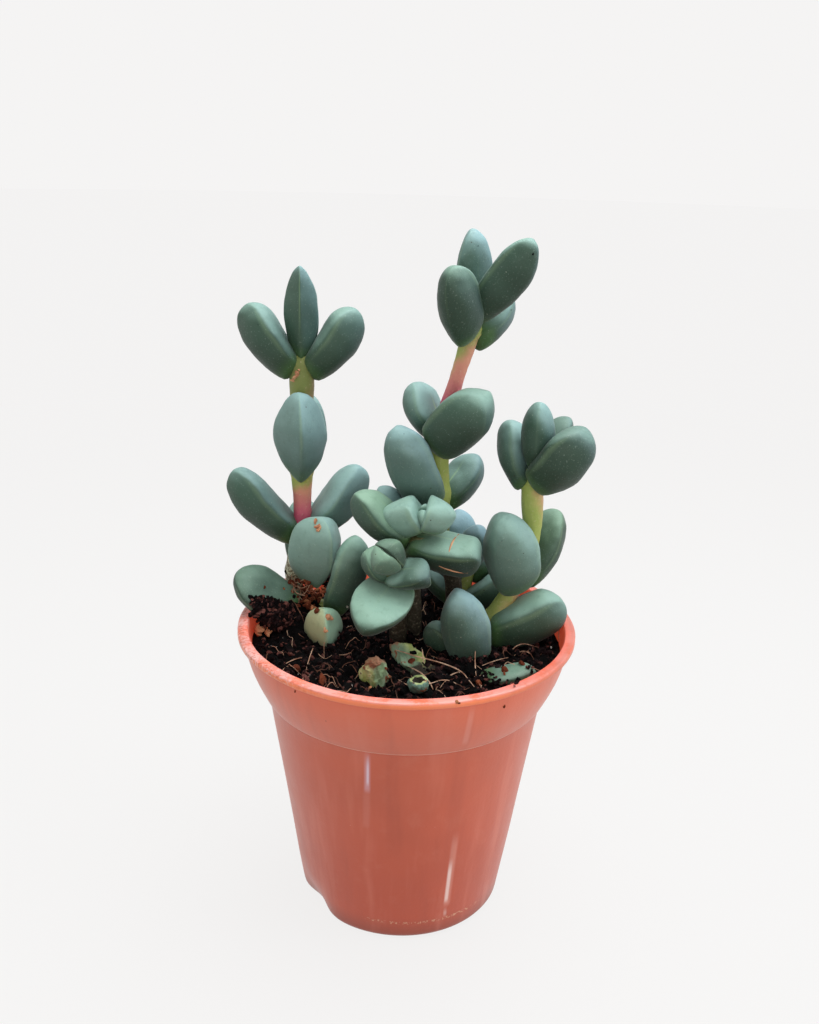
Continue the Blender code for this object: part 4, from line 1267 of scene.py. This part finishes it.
# how the loose pieces vary: proportions, how knobbly they are, and how much each is stretched
crumb = {
    "shape": (1.25, 0.95, 0.75), "knob": 0.45, "knobWave": 1.3,
    "across": (0.7, 1.3), "along": (0.7, 1.2), "turn": 6.28, "smoothTo": 50,
}


def modelCrumb(index, levels=1):
    clearSelection()
    bpy.ops.mesh.primitive_ico_sphere_add(subdivisions=levels, radius=1.0)
    master = bpy.context.object
    master.name = f"crumbMaster{index}"
    editAll()
    bpy.ops.transform.resize(value=crumb["shape"], center_override=(0, 0, 0))
    # one side is broken off flat
    at, outward = (0.2 * index - 0.3, 0, 0.35), (0.3, 0.2 * index - 0.4, 1)
    bpy.ops.mesh.bisect(plane_co=at, plane_no=outward, clear_outer=True, use_fill=True)
    clearSelection()
    dots = readDots(master.data)
    for dot in dots:
        spot = Vector(dot) * crumb["knobWave"] + Vector((index * 7, 0, 0))
        dot *= 1 + crumb["knob"] * noise.noise(spot)
    writeDots(master.data, dots)
    return master


crumbMasters = [modelCrumb(i) for i in range(5)]
lumpMasters = [modelCrumb(i, 2) for i in range(3)]


def strew(name, masters, places, material=crumbLook):
    # places: rows of a spot, a size and how flat the piece lies
    copies = []
    for i, (spot, size, flatness) in enumerate(places):
        master = masters[i % len(masters)]
        copy = bpy.data.objects.new(f"{name}{i}", master.data.copy())
        turn = Euler(dice.uniform(0, crumb["turn"], 3)).to_matrix().to_4x4()
        across, along = size * dice.uniform(*crumb["across"]), size * dice.uniform(*crumb["along"])
        shape = Matrix.Diagonal((1, 1, flatness, 1)) @ turn @ Matrix.Diagonal((across, along, size, 1))
        copy.data.transform(Matrix.Translation(Vector(spot) * mm) @ Matrix.Scale(mm, 4) @ shape)
        paintNumber(copy.data, "crumbHue", np.full(len(copy.data.vertices), dice.uniform(0, 1)))
        bpy.context.scene.collection.objects.link(copy)
        copies.append(copy)
    strewn = joinAs(name, copies)
    smooth(strewn, crumb["smoothTo"])
    dress(strewn, None, material)


def groundTree(pieces):
    # the faces of some pieces, in millimetres, for a line of sight to land on
    dots, faces = [], []
    for piece in pieces:
        start = len(dots)
        dots += [vertex.co / mm for vertex in piece.data.vertices]
        faces += [[start + i for i in face.vertices] for face in piece.data.polygons]
    return BVHTree.FromPolygons(dots, faces)


soilTree = groundTree([soilBody])
wholeTree = groundTree(grownPieces + [soilBody, potBody])


def soilAt(x, y):
    # height of the soil's top
    spot = soilTree.ray_cast(Vector((x, y, 90)), Vector((0, 0, -1)))[0]
    return spot.z if spot else soil["level"]


def spotAt(column, row, tree=wholeTree):
    # where the line of sight through a pixel of the photo lands, and the surface's direction there
    return tree.ray_cast(Vector(view["eye"]), pixelRay(column, row))[:2]


def diskSpot(reach):
    radius, angle = reach * math.sqrt(dice.uniform(0, 1)), dice.uniform(0, 2 * math.pi)
    return radius * math.cos(angle), radius * math.sin(angle)


def looseRows(count, inset, drawSize, lift, flatness):
    # pieces anywhere on the soil, as far as the inset from the wall
    rows = []
    for _ in range(count):
        x, y = diskSpot(insideRadius(soil["level"]) - inset)
        size = drawSize()
        rows.append(((x, y, soilAt(x, y) + size * lift), size, flatness))
    return rows


def pile(pixels, count, spread, sizes, thickness=0.0, tree=wholeTree):
    # crumbs round some pixels of the photo, lying on what shows there
    rows = []
    for column, row in pixels:
        for _ in range(count):
            offset = dice.normal(0, spread, 2)
            spot, outward = spotAt(column + offset[0], row + offset[1], tree)
            if spot is None:
                continue
            size = dice.uniform(*sizes)
            lift = size * 0.2 + dice.uniform(0, 1) * thickness
            rows.append((spot + outward * lift, size, 0.85))
    return rows


def singles(rows, lift=0.0, flatness=0.8):
    # one piece per row of column, row and size, where the photo shows it
    places = []
    for column, row, size in rows:
        spot, outward = spotAt(column, row)
        if spot is not None:
            places.append((spot + outward * lift * size, size, flatness))
    return places


mostlySmall = looseRows(soil["crumbs"], 1.0, lambda: 0.22 + 0.74 * dice.uniform(0, 1) ** 3, 0.3, 0.8)
strew("looseCrumbs", crumbMasters, mostlySmall)
fewLarge = looseRows(soil["lumps"], 2.5, lambda: dice.uniform(0.8, 1.5), 0.15, 0.7)
strew("looseLumps", lumpMasters, fewLarge)

# soil over the foot of the rim leaf, on the half-buried leaf and round the stems
rimLeafSoil = {
    "columns": (253, 294), "step": 2.3,
    "top": [(246, 604), (253, 598), (263, 598), (273, 600), (280, 604), (292, 606)],
    "low": [(246, 612), (258, 620), (270, 628), (282, 632), (291, 621), (294, 612)],
}


def overRimLeaf():
    # pixels of the lower half of the rim leaf, which lies under soil
    rows = []
    for column in np.arange(*rimLeafSoil["columns"], rimLeafSoil["step"]):
        top, low = (np.interp(column, *zip(*rimLeafSoil[side])) for side in ("top", "low"))
        rows += [(column, row) for row in np.arange(top, low, rimLeafSoil["step"])]
    return rows


buriedLeafSoil = [
    (480, 677), (486, 672), (488, 680), (492, 676), (497, 682), (506, 684), (515, 682), (530, 671),
]
footSoil = [(341, 636), (338, 643), (332, 648), (324, 651), (316, 652), (308, 648)]
stemSoil = [(455, 659), (465, 662), (476, 661), (485, 656)]
leafSoilAndShadeCrumbs = pile(overRimLeaf(), 2, 0.8, (0.35, 0.85), 0.6)
leafSoilAndShadeCrumbs += pile(buriedLeafSoil, 9, 2.2, (0.25, 0.55), 0.3)
leafSoilAndShadeCrumbs += pile(footSoil, 6, 2.2, (0.3, 0.7), 0.4) + pile(stemSoil, 6, 1.8, (0.3, 0.6), 0.4)
# dark soil crumbs on the wall in the gap beside the left leaf, put there as painted shade
shadeCrumbsOnWall = [(323, 579), (327, 576), (331, 578), (335, 574), (329, 583), (325, 586), (334, 581)]
leafSoilAndShadeCrumbs += pile(shadeCrumbsOnWall, 12, 1.8, (0.4, 0.9), 0.4, groundTree([potBody, soilBody]))
strew("leafSoilAndShadeCrumbs", crumbMasters, leafSoilAndShadeCrumbs)

# rusty coir crumbs behind the left leaf, and rows of column, row and size: chips, bits of dirt on
# leaves and lip, bits of bark, and pale grains with painted glints
coirHeap = [
    (296, 582), (301, 587), (306, 592), (311, 598), (316, 597),
    (319, 592), (308, 586), (313, 604), (305, 601), (308, 607),
]
chips = [
    (478, 683, 1.0), (505, 671, 0.7), (522, 664, 0.8), (411, 662, 0.9), (297, 668, 1.0), (322, 681, 1.0),
]
leafDirt = [(264, 587), (284, 589), (292, 592), (505, 674), (518, 680), (384, 668), (370, 688)]
lipDirt = [(457, 702, 0.35), (459, 703, 0.3), (504, 706, 0.35), (295, 691, 0.3), (243, 668, 0.25)]
barkChips = [
    (262, 632, 1.3), (267, 628, 1.4), (271, 630, 1.0), (260, 635, 0.9),
    (265, 634, 1.0), (270, 625, 0.8), (258, 631, 0.8),
]
barkPlaces = singles(barkChips, 0.9)
rust = pile(coirHeap, 11, 3.2, (0.3, 0.8), 1.2) + singles(chips, 0.3)
rust += pile(leafDirt, 1, 0.5, (0.35, 0.55)) + singles(lipDirt)
strew("rustyCrumbs", lumpMasters, rust, material=rustLook)
paleGrainsAndGlints = [
    (347, 606, 0.5), (344, 619, 0.3), (309, 665, 0.25), (352, 686, 0.25),
    (437, 669, 0.25), (551, 648, 0.3), (420, 640, 0.22),
]
strew("paleGrainsAndGlints", crumbMasters, singles(paleGrainsAndGlints, 0.3), material=paleLook)
# painted glints: tiny pale specks strewn on the soil
sparkles = []
for _ in range(soil["sparkles"]):
    x, y = dice.uniform(-soil["sparkleReach"], soil["sparkleReach"]), dice.uniform(-32, 26)
    if math.hypot(x, y) < soil["sparkleReach"]:
        sparkles.append(((x, y, soilAt(x, y) + 0.35), dice.uniform(0.06, 0.15), 0.9))
strew("soilSparkles", crumbMasters, sparkles, material=paleLook)
print("soil and crumbs laid")

# root fibres: some lie where the photo shows them, the rest are strewn


def makeFibreLook(name, dark, light):
    sh = Shader(name)
    along = sh.grain(300, 3, 0.6)
    colour = sh.blend(sh.rise(along, 0.3, 0.7), dark, light)
    return sh.finish(colour, 0.75, sh.grain(3000, 2), 0.0001, {"Specular IOR Level": 0.3})


fibreLook = makeFibreLook("fibreLook", tone(150, 104, 80), tone(214, 178, 150))
darkFibreLook = makeFibreLook("darkFibreLook", tone(58, 34, 28), tone(124, 84, 64))
scarLook = makeFibreLook("scarLook", tone(156, 92, 62), tone(218, 166, 126))
# bark chips in a brighter copy of the rusty colours, painted light against the shade they lie in
paintedLitBarkLook = makeFibreLook("paintedLitBarkLook", tone(150, 84, 54), tone(226, 168, 126))


def drawFibres(name, lines, thickness, material):
    # lines: lists of points in millimetres. Each fibre is thickest near its middle
    curve = bpy.data.curves.new(name, "CURVE")
    curve.dimensions = "3D"
    curve.bevel_depth = thickness * mm
    curve.bevel_resolution = 1
    curve.resolution_u = 4
    curve.use_fill_caps = True
    for points in lines:
        if len(points) < 3:
            continue
        spline = curve.splines.new("NURBS")
        spline.points.add(len(points) - 1)
        for i, (target, point) in enumerate(zip(spline.points, points)):
            target.co = (*(Vector(point) * mm), 1)
            share = 0.12 + 0.8 * i / (len(points) - 1)
            target.radius = 0.45 + 0.75 * math.sin(math.pi * share)
        spline.order_u = 3
        spline.use_endpoint_u = True
    drawn = bpy.data.objects.new(name, curve)
    bpy.context.scene.collection.objects.link(drawn)
    selectOnly(drawn)
    bpy.ops.object.convert(target="MESH")
    drawn = bpy.context.object
    smooth(drawn)
    dress(drawn, None, material)


def strewnFibres(count, longest):
    # wandering lines of seven points that start anywhere on the soil and arch a little
    lines = []
    reach = insideRadius(soil["level"]) - 2.0
    while len(lines) < count:
        at = np.array(diskSpot(reach))
        heading = dice.uniform(0, 2 * math.pi)
        lift = dice.uniform(0, 1) ** 3 * 2.0
        line = []
        for share in np.linspace(0, 1, 7):
            line.append((at[0], at[1], soilAt(*at) + 0.2 + lift * math.sin(math.pi * share)))
            heading += dice.normal(0, 0.45)
            step = np.array([math.cos(heading), math.sin(heading)]) * longest / 7
            at = at + step * dice.uniform(0.6, 1.1)
        if all(math.hypot(p[0], p[1]) < reach + 1 for p in line):
            lines.append(line)
    return lines


def oneSurface(pixels):
    # the longest part of a drawn line that lies on one surface, with no jump in depth
    runs, before = [[]], None
    for pixel in pixels:
        spot, outward = spotAt(pixel[0], pixel[1])
        if spot is None:
            continue
        if before and (spot - before[1]).length > 0.5 + 0.8 * math.dist(pixel[:2], before[0][:2]):
            runs.append([])
        before = (pixel, spot, outward)
        runs[-1].append(before)
    return max(runs, key=len)


def sightLine(pixels, lift=0.6):
    # pixels: rows of column, row and, where given, a height above what lies there
    lifted = []
    for pixel, spot, outward in oneSurface(pixels):
        lifted.append(spot + Vector((0, 0, pixel[2] if len(pixel) > 2 else lift)))
    return lifted


shownFibres = [
    [
        (396, 652, 0.5), (405, 656, 0.9), (415, 661, 1.2), (426, 665, 1.6), (438, 669, 1.8),
        (450, 673, 1.8), (462, 678, 1.6), (468, 684, 1.2), (474, 690, 0.8),
    ],
    [(252, 607), (256, 618), (262, 626)],
    [(300, 578), (312, 588), (322, 605)],
    [(476, 678), (474, 668, 1.5), (475, 660, 3.0)],
    [(424, 665), (423, 660, 0.8), (422, 655, 1.5)],
    [(440, 690), (447, 682, 0.8), (452, 676), (460, 674)],
    [(436, 684), (446, 680), (456, 686)],
    [(512, 652), (520, 645, 1.2), (532, 648)],
    [(514, 658), (523, 651, 1.0), (531, 657)],
    [(306, 674), (308, 664, 1.0), (313, 656, 2.0)],
    [(334, 676), (336, 668, 1.5), (334, 660, 2.5)],
    [(560, 622), (558, 634), (559, 644)],
    [(398, 682), (410, 690), (424, 688), (436, 684)],
    [(404, 668), (418, 672), (430, 684), (433, 692)],
    [(286, 666), (294, 661), (302, 660)],
    [(482, 668), (496, 662), (508, 660)],
]
strew("barkChips", lumpMasters, barkPlaces, material=paintedLitBarkLook)
drawFibres("shownFibres", [sightLine(row) for row in shownFibres], 0.13, fibreLook)
drawFibres("strewnFibres", strewnFibres(soil["fibres"], 7.0), 0.07, fibreLook)
drawFibres("darkFibres", strewnFibres(soil["darkFibres"], 6.0), 0.09, darkFibreLook)

# threads of coir behind the left leaf: column, row and height, each between two limits
coir = {"threads": 16, "points": 4, "limits": [(289, 320), (578, 606), (0.4, 1.6)]}
coirThreads = []
for _ in range(coir["threads"]):
    thread = [[dice.uniform(*pair) for pair in coir["limits"]] for _ in range(coir["points"])]
    coirThreads.append(sorted(thread))
drawFibres("coirThreads", [sightLine(row) for row in coirThreads], 0.10, fibreLook)

# scars: thin corky lines on the big leaf, and scabs elsewhere

leafScars = [
    [(463, 532), (459, 534), (455, 538), (452, 543), (450, 548), (449, 552)],
    [(439, 566), (446, 569), (453, 571), (461, 573), (468, 573), (475, 573)],
    [(325, 616), (328, 618), (332, 616)],
    [(327, 620), (330, 619), (333, 620)],
]


def surfaceLine(pixels, sink):
    # a drawn line, partly sunk into the surface that it lies on
    return [spot - outward * sink for pixel, spot, outward in oneSurface(pixels)]


drawFibres("leafScars", [surfaceLine(row, 0.10) for row in leafScars], 0.25, scarLook)
# scabs and tiny dark specks: rows of column, row and size
scabs = [
    (297, 373, 0.6), (296, 377, 0.7), (293, 381, 0.6), (299, 370, 0.4),
    (316, 522, 0.6), (317, 526, 0.8), (319, 528, 0.6), (317, 530, 0.5),
    (328, 617, 0.8), (331, 619, 0.6), (325, 630, 0.6), (327, 631, 0.4),
]
strew("leafScabs", lumpMasters, singles(scabs, 0.0, 0.9), scarLook)
specks = [
    (258, 325, 0.14), (286, 384, 0.3), (277, 462, 0.18), (387, 434, 0.2),
    (404, 434, 0.16), (511, 310, 0.16), (502, 541, 0.16), (533, 254, 0.3),
    (478, 246, 0.14), (240, 467, 0.14), (286, 572, 0.45),
]
strew("leafSpecks", crumbMasters, singles(specks), soilLook)
print("fibres and scars drawn")

# floor, lights and the pale surround

stageLook = {
    "size": 3.0,
    "strength": 0.90,
    "pale": (1, 0.99, 0.985, 1),
    "nearPot": (0.93, 0.92, 0.912, 1),
    "fade": (0.55, 0.12),  # the floor's own look starts and is full at these distances
    "roughness": 0.9,
}


def makeSurroundLook():
    fixed = {"Emission Color": stageLook["pale"], "Emission Strength": stageLook["strength"]}
    return Shader("paleSurround").finish((0, 0, 0, 1), stageLook["roughness"], fixed=fixed)


def makeFloorLook():
    # the floor takes a soft shadow near the pot and fades into the surround
    sh = Shader("paleFloor")
    x, y = sh.parts(sh.place)[:2]
    near = sh.rise((x * x + y * y) ** 0.5, *stageLook["fade"])
    base = sh.blend(near, (0, 0, 0, 1), (0.06, 0.06, 0.06, 1))
    glow = sh.blend(near, stageLook["pale"], stageLook["nearPot"])
    fixed = {"Emission Color": glow, "Emission Strength": stageLook["strength"]}
    fixed["Specular IOR Level"] = 0.0
    return sh.finish(base, stageLook["roughness"], fixed=fixed)


def setStage():
    clearSelection()
    size, under = stageLook["size"], (0, 0, -0.0005)
    bpy.ops.mesh.primitive_circle_add(vertices=96, radius=size, fill_type="NGON", location=under)
    floor = bpy.context.object
    floor.name = "paleFloor"
    settle(floor)
    floor.data.materials.append(makeFloorLook())
    floor.visible_diffuse = False
    clearSelection()
    bpy.ops.mesh.primitive_uv_sphere_add(segments=64, ring_count=32, radius=size)
    surround = bpy.context.object
    surround.name = "paleSurround"
    editAll()
    bpy.ops.mesh.flip_normals()
    smooth(surround)
    surround.data.materials.append(makeSurroundLook())
    surround.visible_diffuse = False
    surround.visible_glossy = False
    surround.visible_shadow = False


# place, aim, width and height, power and hue
lamps = {
    "overheadSoft": ((0.12, 0.06, 0.62), (0, 0, 0.09), (0.55, 0.55), 4.6, (0.94, 0.98, 1.0)),
    "rightSoft": ((0.60, -0.10, 0.22), (0, 0, 0.08), (0.30, 0.50), 1.5, (0.96, 0.98, 1.0)),
    "leftSoft": ((-0.60, -0.05, 0.20), (0, 0, 0.08), (0.25, 0.45), 0.7, (1.0, 0.99, 0.97)),
    "frontSoft": ((0.10, -0.75, 0.22), (0, 0, 0.04), (0.60, 0.40), 1.7, (1.0, 0.96, 0.92)),
}


def addLamp(name, place, aim, size, power, hue):
    lamp = bpy.data.lights.new(name, "AREA")
    lamp.shape = "RECTANGLE"
    lamp.size, lamp.size_y = size
    lamp.energy = power
    lamp.color = hue
    holder = bpy.data.objects.new(name, lamp)
    holder.location = place
    holder.rotation_euler = (Vector(aim) - Vector(place)).to_track_quat("-Z", "Y").to_euler()
    bpy.context.scene.collection.objects.link(holder)


setStage()
for lampName, lampRow in lamps.items():
    addLamp(lampName, *lampRow)

# light from the room: dim from below and brightest above
room = {
    "hue": (0.95, 0.98, 1.0, 1),
    "ramp": {"From Min": -0.6, "From Max": 0.9, "To Min": 0.30, "To Max": 0.55},
}


def setWorld():
    world = bpy.data.worlds.new("softRoom")
    world.use_nodes = True
    tree = world.node_tree
    ground = tree.nodes["Background"]
    place = tree.nodes.new("ShaderNodeTexCoord")
    split = tree.nodes.new("ShaderNodeSeparateXYZ")
    level = tree.nodes.new("ShaderNodeMapRange")
    tree.links.new(place.outputs["Generated"], split.inputs[0])
    tree.links.new(split.outputs["Z"], level.inputs["Value"])
    for name, value in room["ramp"].items():
        level.inputs[name].default_value = value
    tree.links.new(level.outputs[0], ground.inputs["Strength"])
    ground.inputs["Color"].default_value = room["hue"]
    bpy.context.scene.world = world


setWorld()
bpy.context.scene.view_settings.view_transform = "Standard"
print("stage and lamps set")

for master in list(leafMasters.values()) + crumbMasters + lumpMasters:
    bpy.data.objects.remove(master)
